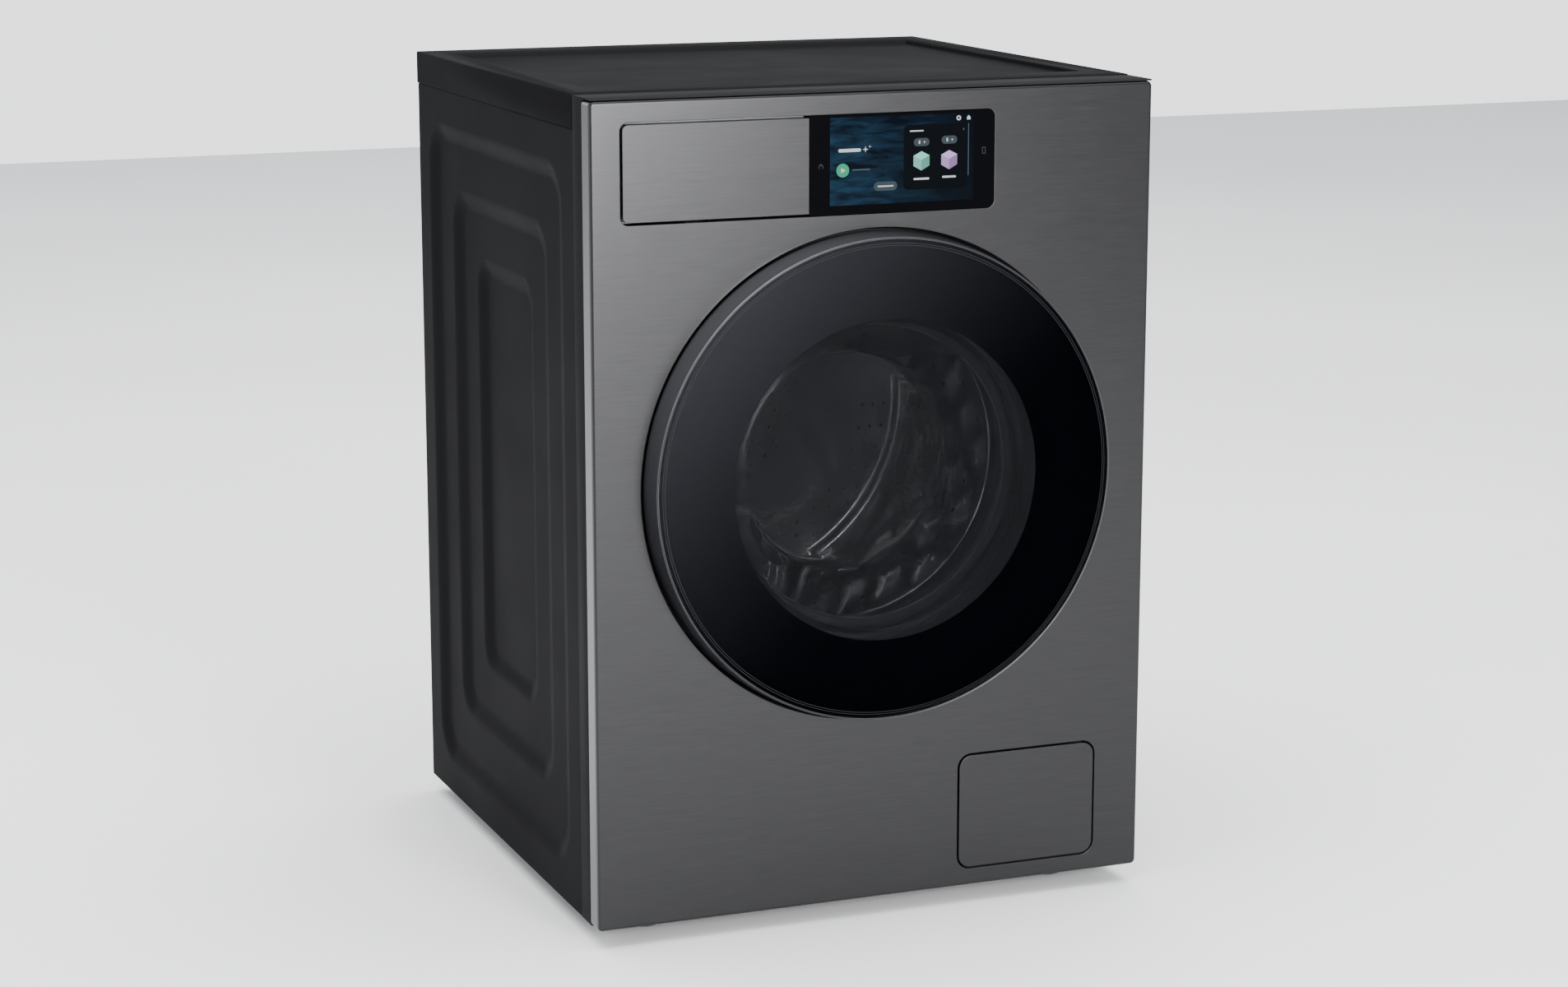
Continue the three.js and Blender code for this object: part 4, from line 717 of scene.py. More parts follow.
# ---- Door ----------------------------------------------------------------------------------------
# A tinted glass disc with a black print round its window and a thin grey film across it, glued
# into a glossy tapered ring. A trim ring closes the joint, and two fine lines run just inside it.
# Behind it are the moulded frame with its cut-outs for hinge and hook, and the clear bowl.

AROUND = 192


def rounded(profile, radius, closed=True, steps=3):
    """A profile of (radius, depth) points in mm, with its corners rounded."""
    count = len(profile)
    result = []
    for i, corner in enumerate(profile):
        if not closed and i in (0, count - 1):
            result.append(corner)
            continue
        here = Vector(corner)
        before = Vector(profile[i - 1]) - here
        after = Vector(profile[(i + 1) % count]) - here
        reach = min(radius, before.length * 0.45, after.length * 0.45)
        start = here + before.normalized() * reach
        end = here + after.normalized() * reach
        for step in range(steps + 1):
            t = step / steps
            result.append(tuple(start * (1 - t) ** 2 + here * 2 * t * (1 - t) + end * t**2))
    return result


def turned(name, profile, closed=True, centre=(0.0, AXIS), around=AROUND, start=FACE):
    """A mesh turned about a front-to-back axis from (radius, depth) points in mm."""
    skin = Skin()
    x, z = centre
    rings = []
    for radius, along in profile:
        outline = round_hole(max(radius, 0.05) * MM, x, z, around)
        rings.append(skin.ring(upright(outline, 0, start + along * MM)))
    skin.bridges(rings)
    if closed:
        skin.bridge(rings[-1], rings[0])
    else:
        skin.cap(rings[0], rings[-1])
    return skin.mesh(name)


def add_turned(name, profile, paint, body, replaces, slot, **shape):
    return add_piece(name, turned(name, profile, **shape), paint, body, replaces)


def wall_of(line, thickness):
    """A closed profile of even thickness along a line of (radius, depth) points in mm."""
    points = [Vector(point) for point in line]
    offsets = []
    for i, point in enumerate(points):
        before = (point - points[max(i - 1, 0)]).normalized() if i else None
        after = (points[i + 1] - point).normalized() if i + 1 < len(points) else None
        way = ((before or after) + (after or before)).normalized()
        lean = max((after or before).dot(way), 0.35)
        offsets.append(Vector((-way.y, way.x)) * thickness / 2 / lean)
    outer = [tuple(p + o) for p, o in zip(points, offsets)]
    inner = [tuple(p - o) for p, o in zip(points, offsets)]
    return outer + inner[::-1]


door_glass_paint = Paint("door_glass_tint", base_color=(0.0004, 0.0005, 0.0009), roughness=0.16,
                         ior=1.05, alpha=0.42)
glass_profile = [(0, -28.95), (241.2, -28.95), (242.3, -28.4), (242.5, -27.6), (242.5, -25.4),
                 (0, -25.4)]
add_turned("door_pane", glass_profile, door_glass_paint, "door", ["door_glass"], "tinted_glass",
           closed=False)

print_and_glare_paint = Paint("black_print_painted_glare", roughness=0.4, ior=1.02)
# Painted reflection: the black print is lightened to grey towards the upper left of the window,
# standing in for light reflected in the glass there.
print_x, _, print_z = print_and_glare_paint.axes()
painted_glare = print_and_glare_paint.span((print_z - AXIS) - print_x, -0.12, 0.40, 0.0, 1.0)
speck = print_and_glare_paint.noise(0.02, 3.0)
print_and_painted_glare = print_and_glare_paint.blend(painted_glare * painted_glare, (0.0002, 0.0003, 0.0008), (0.165, 0.169, 0.192))
print_and_glare_paint.set(base_color=print_and_glare_paint.blend(speck * 0.04, print_and_painted_glare, (0.004, 0.004, 0.006)))
print_profile = [(163, -25.3), (242, -25.3), (242, -25.1), (163, -25.1)]
add_turned("door_print", print_profile, print_and_glare_paint, "door", (), "gloss_black")

film_paint = moulded("window_film", (0.13, 0.133, 0.145), 0.6, grain=0.02, ior=1.05,
                     alpha=0.13)
film_profile = [(0.05, -25.3), (162.9, -25.3), (162.9, -25.1), (0.05, -25.1)]
add_turned("window_film", film_profile, film_paint, "door", (), "tinted_glass", closed=False)

rim_paint = Paint("door_rim_gloss_painted_sheen", roughness=0.3, ior=1.5)
# Painted sheen: the ring's base colour lightens towards its upper left, standing in for the
# reflection on its outer wall there.
rim_x, _, rim_z = rim_paint.axes()
painted_sheen = rim_paint.span((rim_z - AXIS) - rim_x, 0.10, 0.36, 0.0, 1.0)
rim_paint.set(
    base_color=rim_paint.blend(painted_sheen * painted_sheen, (0.004, 0.004, 0.006), (0.05, 0.051, 0.056))
)
rim_profile = rounded(
    [(242.7, -24.9), (243.6, -28.4), (244.6, -28.4), (247.3, -2), (247.3, 4), (244.3, 4),
     (244.3, 0), (241.4, -22.9), (214.5, -22.9), (214.5, -24.9)], 0.8)
add_turned("door_ring", rim_profile, rim_paint, "door", ["door_rim"], "gloss_black")

trim_paint = moulded("trim_chrome", (0.06, 0.061, 0.065), 0.3, metallic=1.0)
trim_profile = rounded([(242.6, -28.9), (243.3, -28.9), (243.3, -28.2), (242.6, -28.2)], 0.25)
add_turned("door_trim", trim_profile, trim_paint, "door", (), "gloss_black")

groove_paint = moulded("groove_grey", (0.016, 0.017, 0.020), 0.4, ior=1.2)
for index, radius in enumerate((236.2, 238.4)):
    band = [(radius, -29), (radius + 0.4, -29), (radius + 0.4, -28.9), (radius, -28.9)]
    add_turned(f"door_line_{index + 1}", band, groove_paint, "door", (), "gloss_black")


def carved(mesh, boxes):
    """The mesh with boxes, each (low, high) in metres, cut out of it."""
    body = placed("carved", mesh)
    cutters = []
    for low, high in boxes:
        work = bmesh.new()
        bmesh.ops.create_cube(work, size=1)
        for vertex in work.verts:
            vertex.co = [(a + b) / 2 + c * (b - a) for c, a, b in zip(vertex.co, low, high)]
        cutter_mesh = bpy.data.meshes.new("cutter")
        work.to_mesh(cutter_mesh)
        work.free()
        cutters.append(placed("cutter", cutter_mesh))
        modifier = body.modifiers.new("cut", "BOOLEAN")
        modifier.operation = "DIFFERENCE"
        modifier.object = cutters[-1]
    result = worked_out(body)
    for thing in [body, *cutters]:
        bpy.data.objects.remove(thing)
    return result


def block(x0, x1, d0, d1, z0, z1):
    """A box in mm: across from the middle, depth behind the panel's face, height from the axis."""
    return ((x0 * MM, depth(d0), AXIS + z0 * MM), (x1 * MM, depth(d1), AXIS + z1 * MM))


door_plastic = moulded("door_plastic", (0.018, 0.018, 0.020), 0.4, ior=1.35)
inner_profile = rounded(
    [(243.7, 1), (243.7, 3.5), (184, 3.5), (181, 6.5), (178.5, 6.5), (178.5, -5), (181, -5),
     (181, 0.4), (186, 1)], 0.6)
frame_mesh = carved(
    turned("door_back_frame", inner_profile),
    [block(-248, -183, -3, 8, -39, 39), block(201, 222, -3, 8, -9, 9)],
)
add_piece("door_back_frame", frame_mesh, door_plastic, "door", ["door_inner_frame"])

bowl_paint = Paint("bowl_clear", base_color=(0.88, 0.89, 0.9), roughness=0.02, ior=1.25,
                   transmission_weight=1.0)
in_shadow = bowl_paint.node("ShaderNodeLightPath", out="Is Shadow Ray")
let_through = bowl_paint.node("ShaderNodeBsdfTransparent", {"Color": (0.9, 0.93, 0.94)})
bowl_glass = Value(bowl_paint, bowl_paint.shader.outputs[0])
bowl_mix = bowl_paint.node("ShaderNodeMixShader", {0: in_shadow, 1: bowl_glass, 2: let_through})
bowl_paint.feed(bowl_paint.nodes["Material Output"].inputs["Surface"], bowl_mix)
bowl_outer = [(0.05, 96), (60, 95.9), (100, 95.4), (108, 94), (115, 91), (120, 86), (135, 61),
              (150, 33), (161, 9), (164, 3), (167, 0.8), (177, 0.7), (177.4, 0.2), (177.4, -4.3)]
bowl_inner = [(176.8, -4.5), (158, -4.5), (156.6, -3.8), (140, 29), (122, 64), (113.5, 84),
              (110, 88), (104, 90.2), (60, 90.9), (0.05, 91)]
add_turned("door_bowl_glass", bowl_outer + bowl_inner, bowl_paint, "door", ["door_bowl"],
           "bowl_glass", closed=False)

# ---- Door opening --------------------------------------------------------------------------------
# A moulded black dish behind the steel carries the hinge and the lock, and holds the bellows.
# The bellows of grey rubber joins it to the tub.

dish_line = [(261.5, 2.9), (253, 2.9), (251.2, 4.5), (249.6, 20), (247.6, 23.2), (194, 23.2),
             (188, 25.5), (175.5, 35.6), (172.6, 39), (172.2, 43)]
dish_profile = rounded(wall_of(dish_line, 2.4), 0.8)
dish_mesh = carved(turned("door_dish", dish_profile), [block(201, 222, 20, 28, -9, 9)])
dish_paint = moulded("dish_black", (0.02, 0.02, 0.022), 0.3, ior=1.35)
add_piece("door_dish", dish_mesh, dish_paint, "root", ["door_surround"])

bellows_line = rounded(
    [(155.5, 31), (157, 33), (167, 35), (167, 50), (183, 56), (183, 61), (171, 65),
     (171, 71.2), (188.5, 71.2)], 3.5, closed=False)
bellows_paint = moulded("bellows_rubber", (0.2, 0.205, 0.215), 0.5)
bellows = add_turned("door_bellows", rounded(wall_of(bellows_line, 2.4), 0.5), bellows_paint, None,
                     ["door_gasket"], "grey_rubber", around=144)
depth(36)
depth(70)
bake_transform(bellows)

# ---- Drum ----------------------------------------------------------------------------------------
# Bright stainless sheet: the wall is pressed in diamonds and drilled in slanting rows,
# and the back plate has rings of holes. Three moulded lifters are clipped to the wall.

drum_paint = brushed("drum_bright", (0.55, 0.555, 0.57), 0.22)
DRUM_WALL = 239.2
DRUM_FRONT, DRUM_DEEP = 104, 348
DIAMONDS_AROUND = 20
DIAMONDS_ALONG = 5


wall_paint = brushed("drum_pressed", (0.55, 0.555, 0.57), 0.22)
wall_x, wall_y, wall_z = wall_paint.axes()
wall_u = (wall_z - AXIS).math("ARCTAN2", wall_x) * (DIAMONDS_AROUND / (2 * math.pi))
wall_v = (wall_y - depth(DRUM_FRONT)) * (DIAMONDS_ALONG / (DRUM_DEEP * MM))
crease_distance = (wall_u + wall_v).math("PINGPONG", 0.5)
crease_distance = crease_distance.math("MINIMUM", (wall_u - wall_v).math("PINGPONG", 0.5))
# Painted shade: the base colour drops from 0.62 to 0.14 along the pressed diamonds' creases; the
# front lip stays bright.
unshaded_flats = wall_paint.span(crease_distance, 0.10, 0.20, 0.0, 1.0)
unshaded_flats = unshaded_flats.math("MAXIMUM", wall_y.below(depth(DRUM_FRONT)))
wall_paint.set(base_color=wall_paint.blend(unshaded_flats, (0.14, 0.142, 0.15), (0.62, 0.625, 0.64)))


def diamond(turn, along):
    """How far a diamond's pressed face stands in from the wall, in mm."""
    u = turn / (2 * math.pi) * DIAMONDS_AROUND
    v = (along - DRUM_FRONT) / DRUM_DEEP * DIAMONDS_ALONG
    a, b = (u + v) % 1, (u - v) % 1
    edge = min(a, 1 - a, b, 1 - b)
    return 3.6 * min(edge / 0.26, 1)


drum_skin = Skin()
front_lip = rounded([(168.4, 101), (168.4, 93.4), (236, 93.4), (DRUM_WALL, 97), (DRUM_WALL, 104)],
                    3, closed=False)
wall_steps = 84
drum_turns = 420
drum_path = [(radius, along, 0) for radius, along in front_lip]
for step in range(1, wall_steps + 1):
    along = DRUM_FRONT + DRUM_DEEP * step / wall_steps
    drum_path.append((DRUM_WALL, along, 0 if step == wall_steps else 1))


def drum_ring(radius, along, pressed, offset):
    points = []
    for i in range(drum_turns):
        turn = 2 * math.pi * i / drum_turns
        r = (radius + offset - (diamond(turn, along) if pressed else 0)) * MM
        points.append((r * math.cos(turn), depth(along), AXIS + r * math.sin(turn)))
    return drum_skin.ring(points)


drum_inside = [drum_ring(r, a, p, 0) for r, a, p in drum_path]
drum_outside = [drum_ring(r, a, 0, 0.5) for r, a, p in drum_path[len(front_lip) - 1 :: 12]]
drum_skin.bridges(drum_inside)
drum_skin.bridges(drum_outside)
drum_skin.bridge(drum_inside[-1], drum_outside[-1])
lip_back = [drum_ring(r, a + 0.8, 0, 0) for r, a, _ in drum_path[: len(front_lip) - 3]]
drum_skin.bridges(lip_back)
drum_skin.bridge(drum_inside[0], lip_back[0])
drum_skin.bridge(lip_back[-1], drum_outside[0])
add_piece("drum_wall", drum_skin.mesh("drum_wall"), wall_paint, "drum", ["drum_shell"],
          smooth=9)

PLATE = [(0.05, 436), (36, 436), (44, 440), (94, 440), (112, 442), (146, 442), (160, 440),
         (206, 440), (214, 433), (228, 433), (236, 440), (238.4, 444)]
plate_line = rounded(PLATE, 4, closed=False)
plate_back = [(r, along + 1) for r, along in plate_line[::-1]]
add_turned("drum_plate", plate_line + plate_back, drum_paint, "drum", ["drum_back"], "drum_steel",
           closed=False)


def scattering(name, sizes, shape):
    """A tree that puts a shape, made from the named sizes, on every point of its mesh."""
    tree = bpy.data.node_groups.new(name, "GeometryNodeTree")
    new_socket = tree.interface.new_socket
    new_socket("Geometry", in_out="INPUT", socket_type="NodeSocketGeometry")
    for label, size in sizes.items():
        new_socket(label, in_out="INPUT", socket_type="NodeSocketFloat").default_value = size
    new_socket("Material", in_out="INPUT", socket_type="NodeSocketMaterial")
    new_socket("Geometry", in_out="OUTPUT", socket_type="NodeSocketGeometry")

    def add(kind, inputs=None, **settings):
        return grow(tree, kind, inputs, **settings)

    given = add("NodeGroupInput")
    whole = tree.nodes.new("GeometryNodeJoinGeometry")
    for part in shape(add, given):
        tree.links.new(part, whole.inputs[0])
    way = add("GeometryNodeInputNamedAttribute", {"Name": "way"}, data_type="FLOAT_VECTOR")
    aim = add("FunctionNodeAlignEulerToVector", {"Vector": way["Attribute"]}, axis="Z")
    spread = {"Points": given["Geometry"], "Instance": whole.outputs[0], "Rotation": aim[0]}
    real = add("GeometryNodeRealizeInstances", {0: add("GeometryNodeInstanceOnPoints", spread)[0]})
    painted = {"Geometry": real[0], "Material": given["Material"]}
    add("NodeGroupOutput", {0: add("GeometryNodeSetMaterial", painted)[0]})
    return tree


def hole_shape(add, given):
    """A disc painted dark as the shade inside a hole, in a raised rim."""
    radius = given["Hole radius"]
    wide = add("ShaderNodeMath", {0: radius, 1: given["Rim width"]})
    cone = {"Vertices": 12, "Radius Top": radius, "Radius Bottom": wide[0],
            "Depth": given["Rim height"]}
    rim = add("GeometryNodeMeshCone", cone, fill_type="NONE")
    disc = add("GeometryNodeMeshCircle", {"Vertices": 12, "Radius": radius}, fill_type="NGON")
    return rim["Mesh"], disc["Mesh"]


HOLES = scattering("holes", {"Hole radius": 0.002, "Rim width": 0.0008, "Rim height": 0.0006},
                   hole_shape)
# Painted shade: each hole is a dark disc standing in for the dark behind the sheet, not an opening.
hole_shade_paint = moulded("hole_painted_shade", (0.01, 0.01, 0.011), 0.6)


def repeated(name, tree, points, ways, settings, paint, body):
    """A piece made by a node tree on points, each with the way it faces."""
    mesh = bpy.data.meshes.new(name)
    mesh.from_pydata(points, [], [])
    stored = mesh.attributes.new("way", "FLOAT_VECTOR", "POINT")
    for value, way in zip(stored.data, ways):
        value.vector = way
    source = placed("source", mesh)
    modifier = source.modifiers.new("nodes", "NODES")
    modifier.node_group = tree
    sockets = {s.name: s.identifier for s in tree.interface.items_tree if s.in_out == "INPUT"}
    for key, value in {**settings, "Material": paint.material}.items():
        modifier[sockets[key]] = value
    result = worked_out(source)
    source.modifiers.clear()
    bpy.data.objects.remove(source)
    return add_piece(name, result, paint, body, ())


spots, ways = [], []
for row in range(DIAMONDS_ALONG * 2):
    for column in range(DIAMONDS_AROUND * 4):
        v = (row + 0.5) / 2
        u = column / 4 + (v % 1 if row % 2 else -(v % 1))
        turn = 2 * math.pi * (u % DIAMONDS_AROUND) / DIAMONDS_AROUND
        along = DRUM_FRONT + DRUM_DEEP * v / DIAMONDS_ALONG
        r = (DRUM_WALL - diamond(turn, along) - 0.25) * MM
        spots.append((r * math.cos(turn), depth(along), AXIS + r * math.sin(turn)))
        ways.append((-math.cos(turn), 0, -math.sin(turn)))
# The drum wall's holes are dark discs: painted shade.
repeated("drum_wall_holes", HOLES, spots, ways,
         {"Hole radius": 0.0019, "Rim width": 0.0009, "Rim height": 0.0007},
         hole_shade_paint, "drum")

PLATE_RIDGE = 150
LIFTER_GAP = 0.45  # of a sixth of a turn, left blank where each lifter's end stands
spots, ways = [], []
for ring_radius, count in ((62, 18), (80, 24), (170, 40), (183, 44), (196, 48)):
    for i in range(count):
        turn = 2 * math.pi * (i + 0.5) / count
        if ring_radius > PLATE_RIDGE and (turn * 3 / math.pi) % 2 < LIFTER_GAP:
            continue
        r = ring_radius * MM
        spots.append((r * math.cos(turn), depth(439.7), AXIS + r * math.sin(turn)))
        ways.append((0, -1, 0))
# The back plate's holes are dark discs: painted shade.
repeated("drum_plate_holes", HOLES, spots, ways,
         {"Hole radius": 0.0014, "Rim width": 0.0009, "Rim height": 0.0005},
         hole_shade_paint, "drum")

# ---- Service corner ------------------------------------------------------------------------------
# A moulded recess behind the flap holds the drain filter of the pump.
# The filter's grey cap is turned from a solid profile and has a bar to turn it by.

eased("filter_bay", 0.7 * MM, door_plastic, "root")
cap_low, cap_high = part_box("filter_cap")
CAP_AT = ((cap_low[0] + cap_high[0]) / 2, (cap_low[2] + cap_high[2]) / 2)
cap_paint = moulded("cap_grey", (0.15, 0.155, 0.165), 0.45)
cap_profile = rounded(
    [(0.05, 19.5), (21, 19.5), (24, 18.2), (29, 18.2), (33, 21), (33, 29), (29, 29), (29, 60),
     (26, 60), (26, 97), (0.05, 97)], 1.0, closed=False)
add_turned("cap_body", cap_profile, cap_paint, "filter", ["filter_cap"], "grey_plastic",
           closed=False, centre=CAP_AT, around=96)
bar_outline = round_rect(
    (CAP_AT[0] - 26 * MM, CAP_AT[1] - 4.6 * MM), (CAP_AT[0] + 26 * MM, CAP_AT[1] + 4.6 * MM),
    4.5 * MM,
)
bar_mesh = cushion_plate("cap_bar", bar_outline, 11.5 * MM, 1.4 * MM, depth(8.2))
add_piece("cap_bar", bar_mesh, cap_paint, "filter", ())

# ---- Back panel ----------------------------------------------------------------------------------
# Zinc-coated sheet screwed over the side panels' flanges. Pressed ribs stiffen it, the screws sit
# in dimples, and a round cover gives access to the belt.

(back_x0, _, back_z0), (back_x1, BACK, back_z1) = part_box("back_panel")
zinc = moulded("zinc_sheet", (0.20, 0.205, 0.215), 0.38, grain=0.012, depth=0.00003, patch=0.03,
               metallic=0.85)
RIBS = [(-212, 462, 24, 300), (212, 462, 24, 300), (0, 680, 330, 22), (0, 722, 330, 22),
        (0, 242, 330, 22), (0, 200, 330, 22)]
screw_spots = [(x, z) for x in (-286, 286) for z in (40, 170, 300, 430, 560, 690, 795)]
screw_spots += [(x, z) for x in (-170, -57, 57, 170) for z in (36, 798)]
screw_spots += [(178 * math.cos(a), 462 + 178 * math.sin(a))
                for a in [math.radians(30 + 60 * k) for k in range(6)]]
RIM = ((-0.5, 0), (-0.1, 0.2), (0, 0.5), (0, 1.2))
PRESSED = ((0, 0), (-0.8, 0.15), (-2.6, 2.0), (-3.4, 2.2))
PUNCHED = ((0.4, 0), (0, 0.4), (0, 1.2))
back_skin = Skin()


def back_rings(outline, profile, out_by=0, along_by=0):
    """Bridged rings of an outline, from (outwards, inwards from the back face) steps in mm."""
    rings = [back_skin.ring(upright(outline, (out + out_by) * MM, BACK - (along + along_by) * MM))
             for out, along in profile]
    back_skin.bridges(rings)
    return rings


back_outer = back_rings(round_rect((back_x0, back_z0), (back_x1, back_z1), 2 * MM), RIM)
pressed = [
    round_rect(((x - wide / 2) * MM, (z - tall / 2) * MM),
               ((x + wide / 2) * MM, (z + tall / 2) * MM), min(wide, tall) / 2 * 0.999 * MM)
    for x, z, wide, tall in RIBS
]
pressed += [round_hole(8.5 * MM, x * MM, z * MM, 24) for x, z in screw_spots]
rings_front, rings_back = [], []
for outline in pressed:
    rings = back_rings(outline, PRESSED)
    under = back_rings(outline, PRESSED, -0.4, 1.2)
    back_skin.fill(rings[-1])
    back_skin.fill(under[-1])
    rings_front.append(rings[0])
    rings_back.append(under[0])
openings = [round_hole(151.3 * MM, 0, AXIS, 160)]
openings += [round_hole(15 * MM, x * MM, 775 * MM, 48) for x in (-190, 240)]
openings.append(round_hole(8.4 * MM, -240 * MM, 200 * MM, 32))
for outline in openings:
    rings = back_rings(outline, PUNCHED)
    rings_front.append(rings[0])
    rings_back.append(rings[-1])
back_skin.fill(back_outer[0], *rings_front)
back_skin.fill(back_outer[-1], *rings_back)
add_piece("back_sheet", back_skin.mesh("back_sheet"), zinc, "root", ["back_panel"])

cover_profile = [(0.05, -1.5), (60, -1.5), (63, -2.6), (80, -2.6), (83, -1.5), (128, -1.5),
                 (131, -0.3), (148, -0.3), (149.6, -0.8), (150, -1.4), (158, -1.5),
                 (158, -2.7), (0.05, -3.8)]
add_turned("belt_cover", rounded(cover_profile, 0.6, closed=False), zinc, "root",
           ["service_cover"], "zinc_plated", closed=False, start=BACK)


def screw_shape(add, given):
    """A low conical head with a raised cross."""
    radius = given["Head radius"]
    top = add("ShaderNodeMath", {0: radius, 1: 0.72}, operation="MULTIPLY")
    cone = {"Vertices": 20, "Radius Top": top[0], "Radius Bottom": radius,
            "Depth": given["Head height"]}
    parts = [add("GeometryNodeMeshCone", cone)["Mesh"]]
    for wide, tall in ((0.0042, 0.0009), (0.0009, 0.0042)):
        bar = add("GeometryNodeMeshCube", {"Size": (wide, tall, 0.0004)})
        lift = {"Geometry": bar["Mesh"], "Translation": (0, 0, 0.0014)}
        parts.append(add("GeometryNodeTransform", lift)["Geometry"])
    return parts


SCREWS = scattering("screws", {"Head radius": 0.0045, "Head height": 0.0014}, screw_shape)
screw_paint = moulded("screw_zinc", (0.34, 0.34, 0.35), 0.3, metallic=1.0)
points = [(x * MM, BACK - 2.2 * MM, z * MM) for x, z in screw_spots]
repeated("back_screws", SCREWS, points, [(0, 1, 0)] * len(points),
         {"Head radius": 0.0046, "Head height": 0.0014}, screw_paint, "root")
# The vents are the same dark discs: painted shade where the holes would open.
points = [(x * MM, BACK - 0.45 * MM, z * MM)
          for x in range(-120, 121, 12) for z in range(84, 133, 12)]
repeated("back_vents", HOLES, points, [(0, 1, 0)] * len(points),
         {"Hole radius": 0.003, "Rim width": 0.0009, "Rim height": 0.0004},
         hole_shade_paint, "root")

# ---- Feet ----------------------------------------------------------------------------------------
# Rubber pads moulded round threaded studs, with a lock nut under the base.
# Each is turned about an upright axis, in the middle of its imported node.


def turned_up(name, profile, x, y, around=64):
    """A mesh turned about an upright axis from (radius, height) points in mm."""
    skin = Skin()
    rings = [
        skin.ring([(x + r * MM * a, y + r * MM * b, z * MM) for (_, (a, b)) in
                   round_hole(1, 0, 0, around)])
        for r, z in profile
    ]
    skin.bridges(rings)
    skin.cap(rings[0], rings[-1])
    return skin.mesh(name)


foot_paint = moulded("foot_rubber", (0.012, 0.012, 0.012), 0.7)
FOOT = [(0.05, 0), (17.5, 0), (19.2, 0.9), (19.6, 2.5), (18.6, 8), (16, 10.5), (9.5, 11.5),
        (9.5, 17), (5.2, 17.6), (5.2, 37.6), (0.05, 37.8)]
for corner in ("front_left", "front_right", "back_left", "back_right"):
    low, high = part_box(f"foot_{corner}")
    middle = [(a + b) / 2 for a, b in zip(low, high)]
    foot_mesh = turned_up(f"foot_{corner}_pad", rounded(FOOT, 0.7, closed=False), *middle[:2])
    add_piece(f"foot_{corner}_pad", foot_mesh, foot_paint, "root", [f"foot_{corner}"])

# ---- Smaller fittings ----------------------------------------------------------------------------
# Hinge, hook, lock, drawer, lifters, housings, tray and connections, in steel and plastics.
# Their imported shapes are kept, with eased edges.

plated = moulded("plated_steel", (0.34, 0.345, 0.35), 0.3, metallic=1.0)
moulding = moulded("drawer_grey", (0.20, 0.205, 0.215), 0.4)
housing = moulded("housing_white", (0.42, 0.43, 0.43), 0.45)
valve = moulded("valve_black", (0.014, 0.014, 0.015), 0.45)
for node, width, paint, body, slot in (
    ("door_hinge_leaf", 0.5, plated, "door", "zinc_plated"),
    ("door_hinge_bracket", 0.5, plated, "root", "zinc_plated"),
    ("door_hook", 0.5, plated, "hook", "zinc_plated"),
    ("door_lock", 0.8, valve, "root", "black_frame"),
    ("drawer_box", 0.7, moulding, "drawer", "grey_plastic"),
    ("dispenser_housing", 0.7, housing, "root", "white_plastic"),
    ("drum_lifter_a", 3.0, moulding, "drum", "grey_plastic"),
    ("drum_lifter_b", 3.0, moulding, "drum", "grey_plastic"),
    ("drum_lifter_c", 3.0, moulding, "drum", "grey_plastic"),
    ("water_inlet_valve", 0.5, housing, "root", "white_plastic"),
    ("drain_elbow", 0.5, valve, "root", "black_frame"),
    ("cable_gland", 0.4, foot_paint, "root", "black_rubber"),
    ("base_tray", 0.8, valve, "root", "black_frame"),
    ("top_brace", 0.3, zinc, "root", "zinc_plated"),
):
    eased(node, width * MM, paint, body, steps=2)

# ---- Tub springs and sump hose -------------------------------------------------------------------
# Two coiled steel springs hang the tub from the brace, and a ribbed rubber hose drains it to the
# pump. Each runs from the casing at one end to the tub at the other.


def through(points, steps):
    """Points of a smooth curve through the given ones."""
    points = [Vector(point) for point in points]
    padded = [2 * points[0] - points[1], *points, 2 * points[-1] - points[-2]]
    result = []
    for a, b, c, d in zip(padded, padded[1:], padded[2:], padded[3:]):
        for step in range(steps):
            t = step / steps
            result.append(0.5 * (2 * b + (c - a) * t + (2 * a - 5 * b + 4 * c - d) * t**2
                                 + (3 * b - a - 3 * c + d) * t**3))
    return [*result, points[-1]]


def tube(name, line, radius, sides=14):
    """A closed round tube along a line, whose radius is a function of the point's number."""
    skin = Skin()
    rings = []
    side = (line[1] - line[0]).orthogonal().normalized()
    for i, point in enumerate(line):
        ahead = (line[min(i + 1, len(line) - 1)] - line[max(i - 1, 0)]).normalized()
        side = (side - ahead * side.dot(ahead)).normalized()
        up = ahead.cross(side)
        rings.append(skin.ring([point + radius(i) * (side * a + up * b)
                                for a, b in arc((0, 0), 1, 0, 360, sides)[:-1]]))
    skin.bridges(rings)
    skin.cap(rings[0], rings[-1])
    return skin.mesh(name)


COIL_RADIUS, WIRE_RADIUS = 12.8 * MM, 1.8 * MM
COIL_STEPS = 104  # of 24 degrees each
STRAIGHT_END, TAIL = 5 * MM, 14 * MM
for side in ("left", "right"):
    (x0, y0, z0), (x1, y1, z1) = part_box(f"tub_spring_{side}")
    x, y = (x0 + x1) / 2, (y0 + y1) / 2
    route = [(x, y, z0), (x, y, z0 + STRAIGHT_END)]
    for step in range(COIL_STEPS + 1):
        height = z0 + TAIL + (z1 - z0 - 2 * TAIL) * step / COIL_STEPS
        turn = math.radians(24 * step)
        route.append((x + COIL_RADIUS * math.cos(turn), y + COIL_RADIUS * math.sin(turn), height))
    route += [(x, y, z1 - STRAIGHT_END), (x, y, z1)]
    coil = tube(f"hanging_spring_{side}", through(route, 3), lambda i: WIRE_RADIUS, 10)
    spring = add_piece(f"hanging_spring_{side}", coil, plated, None, [f"tub_spring_{side}"])
    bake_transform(spring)

(_, hose_y, _), (hose_x, _, hose_z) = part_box("sump_hose")
outlet = Vector((0.040, depth(280), hose_z))
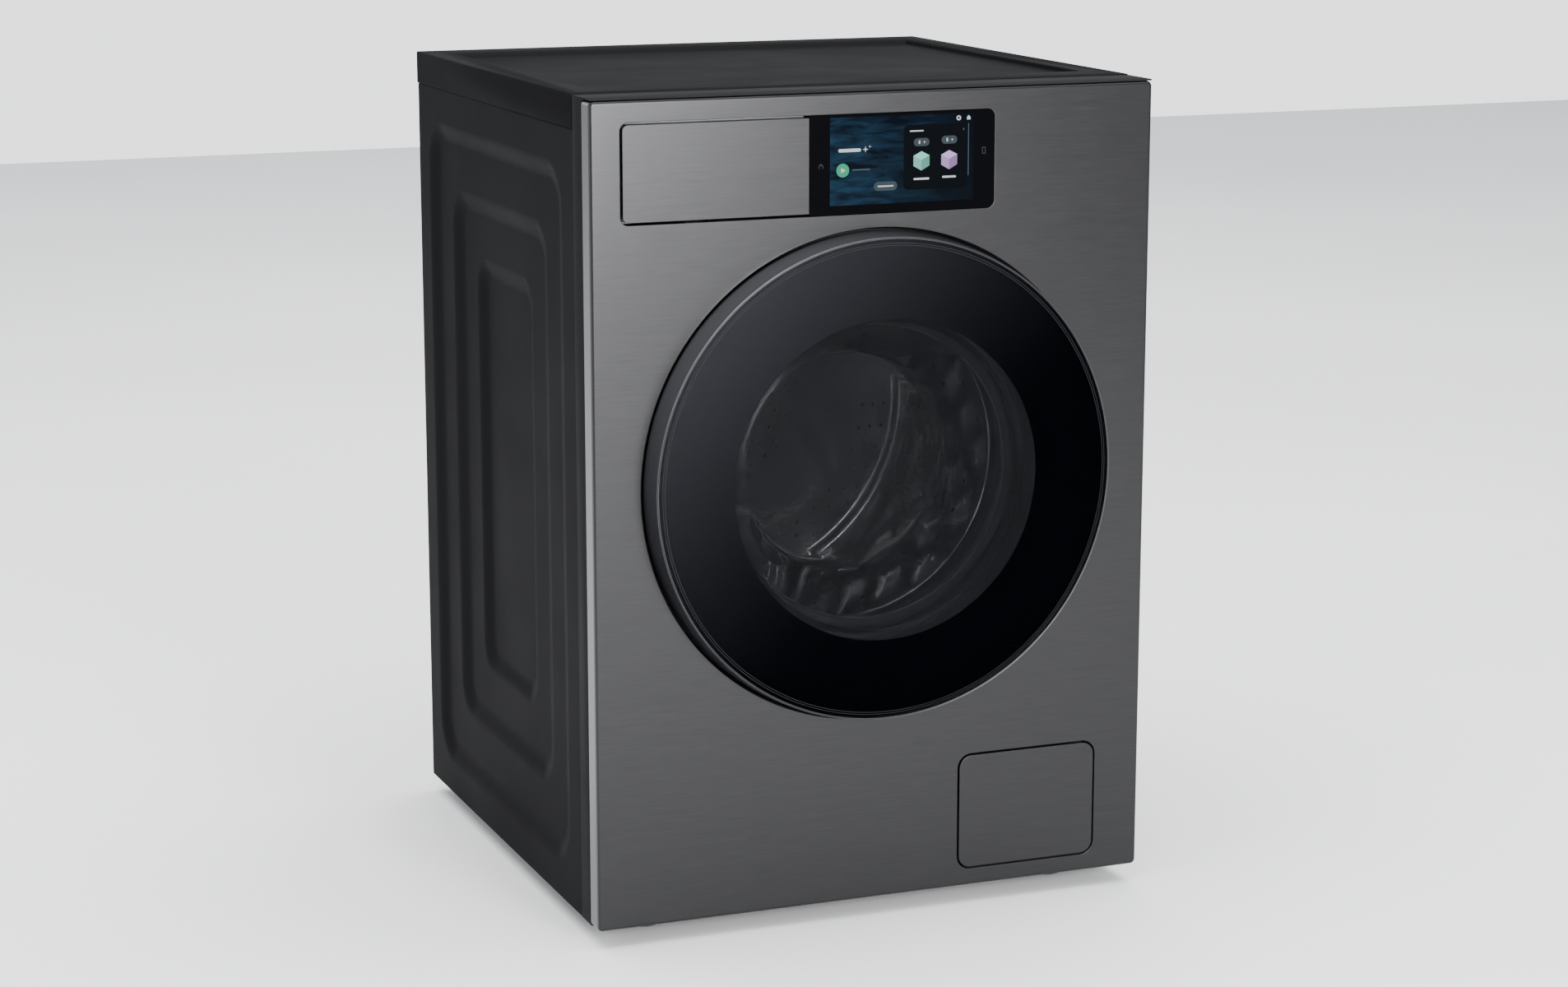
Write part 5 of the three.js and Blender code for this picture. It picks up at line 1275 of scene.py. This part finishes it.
pump_end = Vector((hose_x, hose_y + 14 * MM, 0.098))
HOSE = [outlet, outlet - Vector((0, 0, 0.018)), outlet + Vector((0.002, -0.060, -0.052)),
        pump_end + Vector((-0.042, 0.040, 0.004)), pump_end - Vector((0.016, 0, 0)), pump_end]


def ribbed(i):
    """The hose's radius at a point: ribbed between two plain ends."""
    return (12.9 + (0.9 * math.cos(i * 0.9) if 20 < i < 130 else 0)) * MM


hose_mesh = tube("drain_bellows", through(HOSE, 30), ribbed, 28)
hose = add_piece("drain_bellows", hose_mesh, foot_paint, None, ["sump_hose"])
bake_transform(hose)

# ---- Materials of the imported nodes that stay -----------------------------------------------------
# Tub, weights, pump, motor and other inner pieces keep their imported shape.
# Each gets the finish of what it is made of, by its slot.

gloss_black = moulded("gloss_black", (0.006, 0.006, 0.008), 0.09, grain=0.05, depth=0.00002,
                      coat_weight=1.0, coat_roughness=0.04)
tinted = Paint("tinted_glass", base_color=(0.004, 0.005, 0.007), roughness=0.03, alpha=0.5)
clear = Paint("bowl_glass", base_color=(0.6, 0.7, 0.72), roughness=0.02, alpha=0.2)
slot_paints = {
    "brushed_steel_front": steel,
    "side_paint": side_paint,
    "black_frame": frame_paint,
    "gloss_black": gloss_black,
    "tinted_glass": tinted,
    "bowl_glass": clear,
    "screen": moulded("screen_module", (0.02, 0.12, 0.28), 0.3),
    "grey_rubber": moulded("grey_rubber", (0.085, 0.088, 0.092), 0.7),
    "black_rubber": moulded("black_rubber", (0.012, 0.012, 0.012), 0.75),
    "white_plastic": moulded("white_plastic", (0.62, 0.63, 0.62), 0.5),
    "grey_plastic": moulded("grey_plastic", (0.17, 0.18, 0.19), 0.5),
    "zinc_plated": moulded("zinc_plated", (0.42, 0.43, 0.44), 0.4, metallic=0.9),
    "drum_steel": brushed("drum_steel", (0.62, 0.63, 0.64), 0.22),
    "cast_aluminium": moulded("cast_aluminium", (0.40, 0.41, 0.42), 0.55, metallic=0.9,
                              grain=0.002, depth=0.0002),
    "concrete": moulded("concrete", (0.27, 0.26, 0.25), 0.95, grain=0.004, depth=0.0006),
}
for part in frame["record"]["subparts"]:
    materials = bpy.data.objects[part["node"]].data.materials
    materials.clear()
    materials.append(slot_paints[part["material_slot"]].material)
